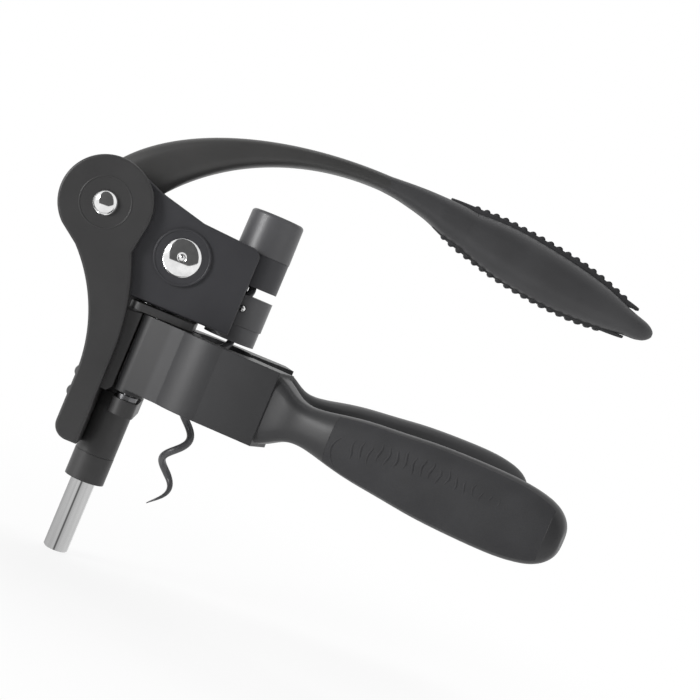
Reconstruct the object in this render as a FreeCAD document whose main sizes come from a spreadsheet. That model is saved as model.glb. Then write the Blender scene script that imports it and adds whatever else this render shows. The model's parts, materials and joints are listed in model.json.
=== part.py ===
import FreeCAD, Part
import Sketcher
import math
import os

# Lever corkscrew. +X runs from the rod towards the hand, +Z up along the rod, +Y away from the
# front.  The origin is on the worm's axis, level with the underside of the two neck jaws.
# Every length is in millimetres and every angle in degrees.

SIZES = {
    # clearances
    "gap": 0.3,                   # between pieces that pass each other
    "weld": 1.0,                  # how far the parts of one casting run into each other
    "past": 1.0,                  # how far a cutting tool runs past the face that it cuts
    "slide_fit": 0.1,             # rod in its guide, on each flat
    "turn_fit": 0.05,             # pin in its bore, on the radius
    # guide rod and guide tube
    "rod_x": -24.0,
    "rod_flats": 8.0,
    "rod_foot": -58.6,
    "rod_top": 54.0,
    "rod_chamfer": 0.9,
    "tube_radius": 6.6,
    "tube_neck_radius": 6.3,
    "tube_foot": -24.6,
    "tube_step": -3.4,
    "ring_radius": 6.65,
    "ring_foot": -33.8,
    "spine_half": 3.0,            # half the thickness of the web that carries the tube
    "spine_top": 1.2,
    # frame
    "pivot_x": -49.8,
    "pivot_z": 52.3,
    "head_radius": 15.1,
    "head_from": 227.0,           # where the back edge leaves the round head
    "head_to": -9.0,              # where the front edge leaves it
    "frame_thick": 3.2,
    "back_x": -38.1,
    "back_arc_z": -1.1,
    "back_arc_radius": 53.3,
    "back_arc_top": 36.6,         # height at which the hollow of the back ends
    "wall_angle": 27.0,
    "wall_thick": 3.0,
    "front_waist_x": -36.3,
    "front_x": -29.5,
    "front_arc_z": 8.2,
    "front_arc_radius": 82.0,
    "frame_foot": -21.8,
    "frame_corner": 5.0,
    "frame_round": 0.8,
    # lever pivot
    "pivot_pin_radius": 2.45,
    "pivot_head_radius": 4.1,
    "pivot_head_high": 1.5,
    # jaw hinges
    "hinge_x": -20.7,
    "hinge_y": 11.5,
    "hinge_pin_radius": 2.0,
    "ear_radius": 4.2,
    "ear_foot": -8.6,
    "washer_radius": 3.4,
    "washer_thick": 1.6,
    "plate_low": 24.8,
    "plate_thick": 2.5,
    "plate_left": -31.0,
    "plate_right": -9.5,
    "plate_half": 16.0,
    "plate_corner": 4.0,
    # back screws
    "screw_radius": 1.5,
    "screw_head_radius": 2.3,
    "screw_head_high": 2.3,
    "screw_long": 9.0,
    "screw_high_z": -1.6,
    "screw_pitch": 6.9,
    # jaws, drawn shut
    "front_spread": 21.0,
    "back_spread": 12.0,
    "jaw_top": 24.5,
    "barrel_radius": 4.9,
    "barrel_foot": -1.2,
    "cup_radius": 18.6,
    "cup_bore": 15.0,
    "lip_bore": 9.6,
    "lip_z": 16.0,
    "shut_half_gap": 0.15,
    "barrel_web": 12.0,
    "tube_clear": 7.0,
    "collar_pad": 1.4,
    "pad_from": 38.0,             # angle from the back where a liner starts
    # jaw handles
    "wrist_start_x": 3.5,
    "wrist_start_outer": 18.1,
    "wrist_step": 0.5,            # how far the handle's root lies inside the wrist all round
    "wrist_end_x": 25.0,
    "wrist_inner": 0.5,
    "wrist_outer": 14.2,
    "handle_root_x": 22.0,
    "neck_x": 36.5,
    "neck_half": 6.5,
    "neck_inner": 3.0,
    "neck_outer": 14.0,
    "grip_start_x": 48.0,
    "grip_belly_x": 95.0,
    "grip_belly_half": 12.2,
    "grip_inner": 1.5,
    "grip_outer": 15.5,
    "grip_tip_x": 123.7,
    "grip_tip_shape": 3.0,
    "grip_mid_z": 12.1,
    "grip_mid_run": 40.0,         # over which the middle settles at its height past the neck
    "root_run": 20.0,             # over which the squarish root turns into the oval grip
    "inset_deep": 3.0,
    "inset_end_x": 119.0,
    # lever arm: a bar between two ellipses
    "arm_top_x": 30.0,
    "arm_top_z": 48.9,
    "arm_top_long": 89.7,
    "arm_top_high": 47.5,
    "arm_top_root": 170.0,
    "arm_low_x": 27.5,
    "arm_low_z": 23.6,
    "arm_low_long": 77.1,
    "arm_low_high": 67.4,
    "arm_low_root": 152.0,
    "arm_end_x": 52.0,
    "arm_half": 6.0,
    "lever_hub_radius": 10.0,
    "lever_hub_half": 7.9,
    "bush_radius": 3.4,
    # crank inside the frame
    "crank_long": 30.0,
    "crank_angle": -40.0,
    "crank_thick": 1.8,
    "crank_hub_radius": 9.0,
    "crank_eye_radius": 5.0,
    "roller_radius": 2.5,
    "roller_long": 2.5,
    "lever_swing": 113.0,
    "travel": 48.0,
    # rubber rim of the lever's grip
    "rim_half": 1.9,
    "rim_over": 2.3,
    "rim_under": 1.2,
    "rim_sink": 0.4,
    "rim_rise": 9.0,
    # carriage
    "cheek_thick": 4.0,
    "block_left": -47.0,
    "block_right": 1.4,
    "block_foot": 28.1,
    "block_top": 57.2,
    "block_cut_x": -44.5,
    "block_cut_z": 31.5,
    "block_shoulder_z": 61.5,
    "block_peak_x": -43.2,
    "block_peak_z": 65.4,
    "block_slope_x": -34.7,
    "block_slope_z": 62.0,
    "block_flat_x": -19.0,
    "block_flat_z": 58.2,
    "block_corner": 3.2,
    "block_round": 0.7,
    "groove_deep": 2.5,
    "web_left": -30.0,
    "web_foot": 43.5,
    "web_top": 56.0,
    "web_step_x": -8.0,           # past here the core stays above the nut
    "bridge_inset": 1.0,
    "clamp_x": -21.3,
    "clamp_z": 45.5,
    "clamp_radius": 3.0,
    "clamp_head_radius": 6.35,
    "clamp_head_high": 1.7,
    "boss_radius": 9.25,
    "boss_high": 0.7,
    # worm bearing
    "cap_x": 1.92,
    "cap_radius": 9.2,
    "cap_top_radius": 9.0,
    "cap_low": 56.2,
    "cap_top": 69.8,
    "cap_round": 1.2,
    "collar_radius": 9.05,
    "collar_foot": 45.5,
    "head_low": 50.3,
    "head_top": 60.0,
    "worm_head_radius": 5.0,
    "worm_bore": 4.6,
    "thrust_thick": 0.6,
    # worm
    "worm_pitch": 17.7,
    "worm_mean_radius": 3.0,
    "worm_wire_radius": 1.25,
    "worm_tip_z": -33.2,
    "worm_tip_angle": 226.0,
    "worm_tip_turns": 0.6,
    "worm_point_radius": 0.15,
    # nut and its carrier
    "nut_low": 26.7,
    "nut_top": 42.4,
    "nut_room": 0.9,              # between the nut's housing and a cheek's inner face
    "nut_foot_step": 0.45,
    "nut_step_z": 32.2,
    "nut_insert_radius": 5.9,
    "nut_insert_low": 28.0,
    "nut_insert_top": 41.2,
    "nut_bore": 4.6,
    "carrier_left": -31.0,
    "carrier_hub_right": -17.5,
    "carrier_hub_low": 27.6,
    "carrier_hub_top": 35.0,
    "carrier_arm_low": 29.0,
    "carrier_arm_top": 39.0,
    "latch_x": 2.4,
    "latch_z": 37.9,
    "ball_radius": 1.2,
    "ball_sink": 0.7,             # how far the ball's middle lies inside the housing's skin
    "ball_room": 1.2,             # how deep the hole goes behind the ball's middle
}

# Sizes that follow others: the stack of pieces from the lever's hub out to the frame.
TIED = {
    "block_inner": "lever_hub_half + crank_thick + gap",
    "block_outer": "block_inner + cheek_thick",
    "frame_inner": "block_outer + gap",
    "web_half": "lever_hub_half - gap",
    "carrier_half": "web_half - gap",
    "nut_radius": "block_inner - nut_room",
    "nut_foot_radius": "nut_radius - nut_foot_step",
    "ball_y": "nut_radius - ball_sink",
    "back_arc_angle": "asin((back_arc_top - back_arc_z) / back_arc_radius)",
}

# Sections of the lever grip: place along X, middle height, half height, half width.
GRIP_SECTIONS = {
    "root": (45.3, 92.6, 2.9, 5.2),
    "swell": (61.6, 89.9, 6.9, 7.2),
    "belly": (82.0, 87.2, 9.0, 8.4),
    "palm": (98.0, 85.4, 8.4, 8.4),
    "taper": (111.1, 84.1, 6.7, 7.4),
    "nose": (121.5, 82.8, 4.4, 5.6),
    "knob": (129.0, 82.0, 2.9, 4.2),
    "tip": (131.0, 82.0, 1.3, 2.0),
}
SECTION_SIZES = ("x", "mid", "half", "side")

SECTION_POINTS = 20           # points round one lofted section
GROOVE_STEPS = 20             # straight pieces that follow the roller's path
JAW_STATIONS = 14             # lofted sections along a jaw handle
WRIST_STATIONS = 4            # how many of them lie before its neck
TIP_SHARE = 0.05              # how far from the tip the last section lies, of the last stretch
ROOT_POWER = 4.5              # squareness of a jaw handle's root
ARM_STATIONS = 7              # lofted sections along the lever's arm
ARM_POWER = 3.2               # squareness of the arm's section
GRIP_POWER = 2.6              # squareness of the lever grip's section
GRIP_STATIONS = 13            # lofted sections along the lever's grip
RIM_POINTS = 17               # points along one edge of the rubber rim

doc = FreeCAD.newDocument("LeverCorkscrew")
sheet = doc.addObject("Spreadsheet::Sheet", "Dim")
nodes = []


def fill_sheet():
    """Write every dimension into the sheet, one aliased cell each, the tied ones as formulas."""
    rows = dict(SIZES)
    for name, measures in GRIP_SECTIONS.items():
        for part, measure in zip(SECTION_SIZES, measures):
            rows[f"{name}_{part}"] = measure
    for name, formula in TIED.items():
        rows[name] = f"={formula}"
    for row, (alias, size) in enumerate(rows.items(), start=1):
        sheet.set(f"A{row}", alias)
        sheet.set(f"B{row}", str(size))
        sheet.setAlias(f"B{row}", alias)
    doc.recompute()


def value(expression):
    """The number that an expression over the sheet gives now."""
    found = sheet.evalExpression(expression.replace("Dim.", ""))
    return float(getattr(found, "Value", found))


def bind(thing, **expressions):
    """Bind properties of an object to expressions over the sheet."""
    for name, expression in expressions.items():
        thing.setExpression(name, expression)
    return thing


def place(thing, x="0", y="0", z="0"):
    """Bind an object's position."""
    for axis, expression in (("x", x), ("y", y), ("z", z)):
        thing.setExpression(f"Placement.Base.{axis}", expression)
    return thing


def new(kind, name):
    return doc.addObject(kind, name)


def node(thing, label):
    """Name an object as one sub-part of the assembly."""
    thing.Label = label
    nodes.append(thing)
    return thing


def cylinder(name, radius, length, x="0", y="0", z="0", along_y=False):
    """A round bar that stands on (x, y, z) and runs up, or away from the front."""
    bar = new("Part::Cylinder", name)
    if along_y:
        bar.Placement.Rotation = FreeCAD.Rotation(FreeCAD.Vector(1, 0, 0), -90)
    bind(bar, Radius=radius, Height=length)
    return place(bar, x, y, z)


def box(name, x_from, x_to, y_from, y_to, z_from, z_to):
    """A block between three pairs of planes."""
    block = new("Part::Box", name)
    bind(block, Length=f"({x_to}) - ({x_from})", Width=f"({y_to}) - ({y_from})")
    bind(block, Height=f"({z_to}) - ({z_from})")
    return place(block, x_from, y_from, z_from)


def hexagon(name, flats, z_from, z_to):
    """A six-sided bar on the rod's axis, with two flats facing along X."""
    bar = new("Part::Prism", name)
    bar.Polygon = 6
    bar.Placement.Rotation = FreeCAD.Rotation(FreeCAD.Vector(0, 0, 1), 30)
    bind(bar, Circumradius=f"({flats}) / 2 / cos(30)", Height=f"({z_to}) - ({z_from})")
    return place(bar, "Dim.rod_x", "0", z_from)


def joined(name, pieces):
    """Several solids fused into one."""
    result = new("Part::MultiFuse", name)
    result.Shapes = pieces
    result.Refine = True
    return result


def cut(name, base, tool):
    result = new("Part::Cut", name)
    result.Base = base
    result.Tool = tool
    return result


def common(name, base, tool):
    result = new("Part::Common", name)
    result.Base = base
    result.Tool = tool
    return result


def feature(name, shape):
    """A shape that is built with Part's own functions."""
    result = new("Part::Feature", name)
    result.Shape = shape
    return result


# --- sketches -------------------------------------------------------------------------------

def corner(x, z, arc=None):
    """An outline's corner; arc is (centre x, centre z, radius, turn) of the run that leaves it."""
    return {"x": x, "z": z, "arc": arc}


def circle_point(centre_x, centre_z, radius, angle):
    """Expressions of a point on a circle."""
    return (f"{centre_x} + {radius} * cos({angle})", f"{centre_z} + {radius} * sin({angle})")


def arc_between(start, end, centre, radius, turn):
    """An arc from start to end about a centre: turn is 1 anticlockwise, -1 clockwise."""
    angles = [math.atan2(point[1] - centre[1], point[0] - centre[0]) for point in (start, end)]
    if turn < 0:
        angles.reverse()
    middle = FreeCAD.Vector(centre[0], centre[1], 0)
    circle = Part.Circle(middle, FreeCAD.Vector(0, 0, 1), radius)
    return Part.ArcOfCircle(circle, angles[0], angles[1])


def draw_outline(sketch, corners):
    """Draw a closed outline whose corners and radii are bound to the sheet."""
    spots = [(value(one["x"]), value(one["z"])) for one in corners]
    ends = []
    for index, one in enumerate(corners):
        start = spots[index]
        end = spots[(index + 1) % len(corners)]
        if one["arc"]:
            centre_x, centre_z, radius, turn = one["arc"]
            centre = (value(centre_x), value(centre_z))
            sketch.addGeometry(arc_between(start, end, centre, value(radius), turn), False)
            place_on = sketch.addConstraint(Sketcher.Constraint("Radius", index, value(radius)))
            sketch.setExpression(f"Constraints[{place_on}]", radius)
            ends.append((1, 2) if turn > 0 else (2, 1))
        else:
            line = Part.LineSegment(FreeCAD.Vector(*start, 0), FreeCAD.Vector(*end, 0))
            sketch.addGeometry(line, False)
            ends.append((1, 2))
    for index, one in enumerate(corners):
        after = (index + 1) % len(corners)
        link = Sketcher.Constraint("Coincident", index, ends[index][1], after, ends[after][0])
        sketch.addConstraint(link)
        for kind, axis, spot in (("DistanceX", "x", 0), ("DistanceY", "z", 1)):
            pin = Sketcher.Constraint(kind, -1, 1, index, ends[index][0], spots[index][spot])
            number = sketch.addConstraint(pin)
            sketch.setExpression(f"Constraints[{number}]", one[axis])


def origin_plane(body, role):
    return next(item for item in body.Origin.OriginFeatures if item.Role == role)


def pad(body, name, role, corners, start, length):
    """Pad an outline from one distance along the plane's normal by a length."""
    sketch = body.newObject("Sketcher::SketchObject", f"{name}Outline")
    sketch.AttachmentSupport = [(origin_plane(body, role), "")]
    sketch.MapMode = "FlatFace"
    sketch.setExpression("AttachmentOffset.Base.z", start)
    draw_outline(sketch, corners)
    doc.recompute()
    block = body.newObject("PartDesign::Pad", name)
    block.Profile = sketch
    block.setExpression("Length", length)
    doc.recompute()
    return block


def rounded(body, name, base, radius, chosen):
    """Round the edges of a body's last feature that a test picks."""
    picked = [f"Edge{number}" for number, edge in enumerate(base.Shape.Edges, start=1) if chosen(edge)]
    fillet = body.newObject("PartDesign::Fillet", name)
    fillet.Base = (base, picked)
    fillet.setExpression("Radius", radius)
    doc.recompute()
    return fillet


def lies_at(level):
    """A test for edges that lie in the plane y = level."""
    def test(edge):
        box_of = edge.BoundBox
        return abs(box_of.YMin - level) < 0.01 and abs(box_of.YMax - level) < 0.01
    return test


# --- frame ----------------------------------------------------------------------------------

def frame_arm_corners():
    """Outline of a frame cheek: round head, hollow back, straight foot."""
    arc_x = "Dim.back_x - Dim.back_arc_radius"
    leave = circle_point("Dim.pivot_x", "Dim.pivot_z", "Dim.head_radius", "Dim.head_from")
    meet = circle_point("Dim.pivot_x", "Dim.pivot_z", "Dim.head_radius", "Dim.head_to")
    upper = circle_point(arc_x, "Dim.back_arc_z", "Dim.back_arc_radius", "Dim.back_arc_angle")
    head = ("Dim.pivot_x", "Dim.pivot_z", "Dim.head_radius", -1)
    back = (arc_x, "Dim.back_arc_z", "Dim.back_arc_radius", 1)
    heel_x = "Dim.back_x + Dim.frame_corner"
    heel_z = "Dim.frame_foot + Dim.frame_corner"
    heel = (heel_x, heel_z, "Dim.frame_corner", -1)
    front_x = "Dim.front_x - Dim.front_arc_radius"
    span = "(Dim.front_arc_radius + Dim.front_waist_x - Dim.front_x)"
    drop = f"sqrt(Dim.front_arc_radius ^ 2 - {span} ^ 2)"
    front = (front_x, "Dim.front_arc_z", "Dim.front_arc_radius", -1)
    return [
        corner(*leave, arc=head),
        corner(*meet),
        corner("Dim.front_waist_x", f"Dim.front_arc_z + {drop}", arc=front),
        corner("Dim.front_x", "Dim.front_arc_z"),
        corner("Dim.front_x", "Dim.frame_foot"),
        corner(heel_x, "Dim.frame_foot", arc=heel),
        corner("Dim.back_x", heel_z),
        corner("Dim.back_x", "Dim.back_arc_z", arc=back),
        corner(*upper),
    ]


def frame_wall_corners():
    """Outline of the wall that closes the frame's back, with the block that holds the tube."""
    arc_x = "Dim.back_x - Dim.back_arc_radius"
    inner_radius = "(Dim.back_arc_radius + Dim.wall_thick)"
    inner_x = "Dim.back_x + Dim.wall_thick"
    outer = (arc_x, "Dim.back_arc_z", "Dim.back_arc_radius", 1)
    inner = (arc_x, "Dim.back_arc_z", inner_radius, -1)
    low_z = "Dim.frame_foot + Dim.frame_corner"
    return [
        corner("Dim.back_x", low_z),
        corner("Dim.back_x", "Dim.back_arc_z", arc=outer),
        corner(*circle_point(arc_x, "Dim.back_arc_z", "Dim.back_arc_radius", "Dim.wall_angle")),
        corner(*circle_point(arc_x, "Dim.back_arc_z", inner_radius, "Dim.wall_angle"), arc=inner),
        corner(inner_x, "Dim.back_arc_z"),
        corner(inner_x, "Dim.spine_top"),
        corner("Dim.front_x", "Dim.spine_top"),
        corner("Dim.front_x", "Dim.frame_foot"),
        corner("Dim.back_x + Dim.frame_corner", "Dim.frame_foot"),
    ]


def span_from(side, near, far):
    """Where a pad on the XZ plane starts (its normal is -Y) to fill near..far on one side."""
    return near if side < 0 else f"-({far})"


def frame_half(side, label):
    """One half of the frame: a cheek, and half of the back wall and foot."""
    body = new("PartDesign::Body", f"Body_{label}")
    outer = "Dim.frame_inner + Dim.frame_thick"
    wall_start = span_from(side, "Dim.spine_half", "Dim.frame_inner")
    wall_deep = "Dim.frame_inner - Dim.spine_half"
    pad(body, f"Wall_{label}", "XZ_Plane", frame_wall_corners(), wall_start, wall_deep)
    start = span_from(side, "Dim.frame_inner", outer)
    cheek = pad(body, f"Cheek_{label}", "XZ_Plane", frame_arm_corners(), start, "Dim.frame_thick")
    rounded(body, f"Round_{label}", cheek, "Dim.frame_round", lies_at(side * value(outer)))
    start_y = f"-({outer})" if side < 0 else "Dim.frame_inner"
    hole = cylinder(f"PivotHole_{label}", "Dim.pivot_pin_radius", "Dim.frame_thick",
                    "Dim.pivot_x", start_y, "Dim.pivot_z", along_y=True)
    seat = cylinder(f"TubeSeat_{label}", "Dim.tube_radius + Dim.turn_fit",
                    "Dim.spine_top - Dim.frame_foot + 2 * Dim.past",
                    "Dim.rod_x", "0", "Dim.frame_foot - Dim.past")
    return node(cut(f"Cut_{label}", body, joined(f"Holes_{label}", [hole, seat])), label)


def guide_tube():
    """The tube that the rod slides in, its web, and the two ears that carry the hinge pins."""
    low = cylinder("TubeLow", "Dim.tube_radius", "Dim.tube_step - Dim.tube_foot",
                   "Dim.rod_x", "0", "Dim.tube_foot")
    high = cylinder("TubeHigh", "Dim.tube_neck_radius", "Dim.plate_low - Dim.tube_step",
                    "Dim.rod_x", "0", "Dim.tube_step")
    web = box("TubeWeb", "Dim.back_x", "Dim.rod_x", "-Dim.spine_half", "Dim.spine_half",
              "Dim.frame_foot + Dim.frame_corner", "Dim.spine_top")
    bridge = box("EarBridge", "Dim.hinge_x - Dim.ear_radius", "Dim.hinge_x + Dim.ear_radius",
                 "-Dim.hinge_y", "Dim.hinge_y", "Dim.ear_foot", "Dim.tube_step")
    ears = [cylinder(f"Ear{side}", "Dim.ear_radius", "Dim.tube_step - Dim.ear_foot",
                     "Dim.hinge_x", f"{side} * Dim.hinge_y", "Dim.ear_foot") for side in (-1, 1)]
    solid = joined("TubeSolid", [low, high, web, bridge] + ears)
    bores = [hexagon("TubeBore", "Dim.rod_flats + 2 * Dim.slide_fit", "Dim.tube_foot", "Dim.plate_low")]
    bores += [cylinder(f"EarHole{side}", "Dim.hinge_pin_radius", "Dim.tube_step - Dim.ear_foot",
                       "Dim.hinge_x", f"{side} * Dim.hinge_y", "Dim.ear_foot") for side in (-1, 1)]
    bores += [cylinder(f"BackHole{number}", "Dim.screw_radius", "Dim.screw_long",
                       "Dim.back_x", "0", screw_z(number)) for number in range(2)]
    for hole in bores[-2:]:
        hole.Placement.Rotation = FreeCAD.Rotation(FreeCAD.Vector(0, 1, 0), 90)
    return node(cut("GuideTube", solid, joined("TubeBores", bores)), "guide_tube")


def screw_z(number):
    """Height of a back screw."""
    return f"Dim.screw_high_z - {number} * Dim.screw_pitch"


def guide_ring():
    """The collar that closes the tube's foot."""
    outside = cylinder("RingSolid", "Dim.ring_radius", "Dim.tube_foot - Dim.ring_foot",
                       "Dim.rod_x", "0", "Dim.ring_foot")
    bore = hexagon("RingBore", "Dim.rod_flats + 2 * Dim.slide_fit", "Dim.ring_foot", "Dim.tube_foot")
    return node(cut("GuideRing", outside, bore), "guide_ring")


def dome(name, radius, high):
    """A shallow domed head that stands on z = 0 about the Z axis, as a slice of a ball."""
    ball_radius = (radius ** 2 + high ** 2) / (2 * high)
    ball = Part.makeSphere(ball_radius, FreeCAD.Vector(0, 0, high - ball_radius))
    keep = Part.makeCylinder(radius, high, FreeCAD.Vector(0, 0, 0))
    return feature(name, ball.common(keep))


def facing_front(thing, x, y, z, side=-1):
    """Lay a piece that stands along Z over so that it points to one side along Y."""
    turn = FreeCAD.Rotation(FreeCAD.Vector(1, 0, 0), 90 if side < 0 else -90)
    thing.Placement = FreeCAD.Placement(FreeCAD.Vector(0, 0, 0), turn)
    return place(thing, x, y, z)


def pivot_pin():
    """The lever's pin with its polished front head."""
    outer = "(Dim.frame_inner + Dim.frame_thick)"
    shaft = cylinder("PivotShaft", "Dim.pivot_pin_radius", f"2 * {outer}",
                     "Dim.pivot_x", f"-{outer}", "Dim.pivot_z", along_y=True)
    head = dome("PivotHead", value("Dim.pivot_head_radius"), value("Dim.pivot_head_high"))
    facing_front(head, "Dim.pivot_x", f"-{outer}", "Dim.pivot_z")
    return node(joined("PivotPin", [shaft, head]), "pivot_pin")


def pivot_cap():
    """The head that is riveted on the pin's far end."""
    head = dome("PivotCap", value("Dim.pivot_head_radius"), value("Dim.pivot_head_high"))
    facing_front(head, "Dim.pivot_x", "Dim.frame_inner + Dim.frame_thick", "Dim.pivot_z", side=1)
    return node(head, "pivot_cap")


def hinge_plate():
    """The plate on top of the tube that holds the upper ends of the hinge pins."""
    body = new("PartDesign::Body", "Body_hinge_plate")
    near = "Dim.plate_left"
    far = "Dim.plate_right"
    half = "Dim.plate_half"
    corners = [corner(near, f"-{half}"), corner(far, f"-{half}"), corner(far, half), corner(near, half)]
    slab = pad(body, "HingeSlab", "XY_Plane", corners, "Dim.plate_low", "Dim.plate_thick")

    def upright(edge):
        return edge.BoundBox.ZLength > value("Dim.plate_thick") / 2

    rounded(body, "HingeSlabRound", slab, "Dim.plate_corner", upright)
    top = "Dim.plate_low + Dim.plate_thick"
    holes = [hexagon("PlateBore", "Dim.rod_flats + 2 * Dim.slide_fit", "Dim.plate_low", top)]
    holes += [cylinder(f"PlateHole{side}", "Dim.hinge_pin_radius", "Dim.plate_thick",
                       "Dim.hinge_x", f"{side} * Dim.hinge_y", "Dim.plate_low") for side in (-1, 1)]
    return node(cut("HingePlate", body, joined("PlateHoles", holes)), "hinge_plate")


def hinge_pins():
    """The two upright pins that the jaws turn on."""
    long = "Dim.plate_low + Dim.plate_thick - Dim.ear_foot"
    pins = [cylinder(f"HingePin{side}", "Dim.hinge_pin_radius", long,
                     "Dim.hinge_x", f"{side} * Dim.hinge_y", "Dim.ear_foot") for side in (-1, 1)]
    return node(group("HingePins", pins), "hinge_pins")


def group(name, pieces):
    """Several like pieces that share a node but stay separate solids."""
    result = new("Part::Compound", name)
    result.Links = pieces
    return result


def hinge_washers():
    """A thrust washer under each jaw."""
    washers = []
    for side in (-1, 1):
        where = ("Dim.hinge_x", f"{side} * Dim.hinge_y", "Dim.tube_step")
        disc = cylinder(f"WasherDisc{side}", "Dim.washer_radius", "Dim.washer_thick", *where)
        hole = cylinder(f"WasherHole{side}", "Dim.hinge_pin_radius", "Dim.washer_thick", *where)
        washers.append(cut(f"Washer{side}", disc, hole))
    return node(group("HingeWashers", washers), "hinge_washers")


def back_screws():
    """Two screws through the frame's back into the web of the tube."""
    screws = []
    for number in range(2):
        shaft = cylinder(f"ScrewShaft{number}", "Dim.screw_radius", "Dim.screw_long",
                         "Dim.back_x", "0", screw_z(number))
        shaft.Placement.Rotation = FreeCAD.Rotation(FreeCAD.Vector(0, 1, 0), 90)
        head = dome(f"ScrewHead{number}", value("Dim.screw_head_radius"), value("Dim.screw_head_high"))
        head.Placement.Rotation = FreeCAD.Rotation(FreeCAD.Vector(0, 1, 0), -90)
        place(head, "Dim.back_x", "0", screw_z(number))
        screws.append(joined(f"BackScrew{number}", [shaft, head]))
    return node(group("BackScrews", screws), "back_screws")


# --- jaws -----------------------------------------------------------------------------------

def closed_curve(middle, across, up, power):
    """A closed rounded section about a middle: power 2 is an ellipse, more is squarer."""
    points = []
    for index in range(SECTION_POINTS):
        angle = 2 * math.pi * index / SECTION_POINTS - math.pi / 4
        side = math.copysign(abs(math.cos(angle)) ** (2 / power), math.cos(angle))
        rise = math.copysign(abs(math.sin(angle)) ** (2 / power), math.sin(angle))
        points.append(middle + across * side + up * rise)
    curve = Part.BSplineCurve()
    curve.interpolate(points, PeriodicFlag=True, Parameters=[float(n) for n in range(SECTION_POINTS + 1)])
    return Part.Wire([curve.toShape()])


def section(x, mid_y, mid_z, half_y, half_z, power):
    """A closed rounded section that lies across X."""
    middle = FreeCAD.Vector(x, mid_y, mid_z)
    return closed_curve(middle, FreeCAD.Vector(0, half_y, 0), FreeCAD.Vector(0, 0, half_z), power)


def ease(share):
    """A smooth step from 0 to 1."""
    share = min(max(share, 0.0), 1.0)
    return (1 - math.cos(math.pi * share)) / 2


def handle_half(x):
    """Half the height of a jaw handle at x, jaws shut."""
    wrist = value("Dim.jaw_top / 2 - Dim.wrist_step")
    neck = value("Dim.neck_half")
    belly = value("Dim.grip_belly_half")
    neck_x = value("Dim.neck_x")
    belly_x = value("Dim.grip_belly_x")
    if x < neck_x:
        start = value("Dim.handle_root_x")
        return wrist + (neck - wrist) * ease((x - start) / (neck_x - start))
    if x < belly_x:
        return neck + (belly - neck) * math.sin(math.pi / 2 * (x - neck_x) / (belly_x - neck_x))
    share = (x - belly_x) / (value("Dim.grip_tip_x") - belly_x)
    shape = value("Dim.grip_tip_shape")
    return belly * (1 - share ** shape) ** (1 / shape)


def handle_sides(x):
    """Distances of a handle's inner and outer side from the middle plane, jaws shut."""
    neck_x = value("Dim.neck_x")
    root = value("Dim.handle_root_x")
    if x < neck_x:
        share = ease((x - root) / (neck_x - root))
        first = ("Dim.wrist_inner + Dim.wrist_step", "Dim.wrist_outer - Dim.wrist_step")
        last = ("Dim.neck_inner", "Dim.neck_outer")
    else:
        share = ease((x - neck_x) / (value("Dim.grip_start_x") - neck_x))
        first = ("Dim.neck_inner", "Dim.neck_outer")
        last = ("Dim.grip_inner", "Dim.grip_outer")
    inner, outer = [value(a) + (value(b) - value(a)) * share for a, b in zip(first, last)]
    if x > value("Dim.grip_belly_x"):
        narrow = math.sqrt(handle_half(x) / value("Dim.grip_belly_half"))
        middle = (inner + outer) / 2
        half = (outer - inner) / 2 * narrow
        inner, outer = middle - half, middle + half
    return inner, outer


def handle_stations():
    """Places of the sections: even down the wrist, then closer and closer to the tip."""
    root = value("Dim.handle_root_x")
    neck = value("Dim.neck_x")
    tip = value("Dim.grip_tip_x")
    first = [root + (neck - root) * step / WRIST_STATIONS for step in range(WRIST_STATIONS + 1)]
    count = JAW_STATIONS - WRIST_STATIONS
    rest = [neck + (tip - neck) * math.sin(math.pi / 2 * step / count) for step in range(1, count)]
    return first + rest + [tip - (tip - rest[-1]) * TIP_SHARE]


def handle_solid(side):
    """A jaw's handle as a loft, about the hinge pin."""
    wires = []
    for x in handle_stations():
        inner, outer = handle_sides(x)
        half = handle_half(x)
        middle_z = value("Dim.jaw_top") / 2
        settled = ease((x - value("Dim.neck_x")) / value("Dim.grip_mid_run"))
        middle_z += (value("Dim.grip_mid_z") - middle_z) * settled
        turned = ease((x - value("Dim.handle_root_x")) / value("Dim.root_run"))
        power = ROOT_POWER + (GRIP_POWER - ROOT_POWER) * turned
        middle_y = side * ((inner + outer) / 2 - value("Dim.hinge_y"))
        place_x = x - value("Dim.hinge_x")
        wires.append(section(place_x, middle_y, middle_z, (outer - inner) / 2, half, power))
    return Part.makeLoft(wires, True, False)


def hung(thing, side, spread):
    """Hang a jaw's piece, drawn about its pin, on the pin at its resting spread."""
    place(thing, "Dim.hinge_x", f"{side} * Dim.hinge_y", "0")
    thing.setExpression("Placement.Rotation.Angle", f"{side} * {spread}")
    return thing


def wrist_block(side, word):
    """The block that joins the cup to the handle, about the hinge pin."""
    near = "Dim.wrist_start_x - Dim.hinge_x"
    far = "Dim.wrist_end_x - Dim.hinge_x"
    inner = f"{side} * (Dim.wrist_inner - Dim.hinge_y)"
    corners = [
        corner(near, inner),
        corner(far, inner),
        corner(far, f"{side} * (Dim.wrist_outer - Dim.hinge_y)"),
        corner(near, f"{side} * (Dim.wrist_start_outer - Dim.hinge_y)"),
    ]
    body = new("PartDesign::Body", f"Body_wrist_{word}")
    pad(body, f"Wrist_{word}", "XY_Plane", corners, "0", "Dim.jaw_top")
    return body


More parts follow.
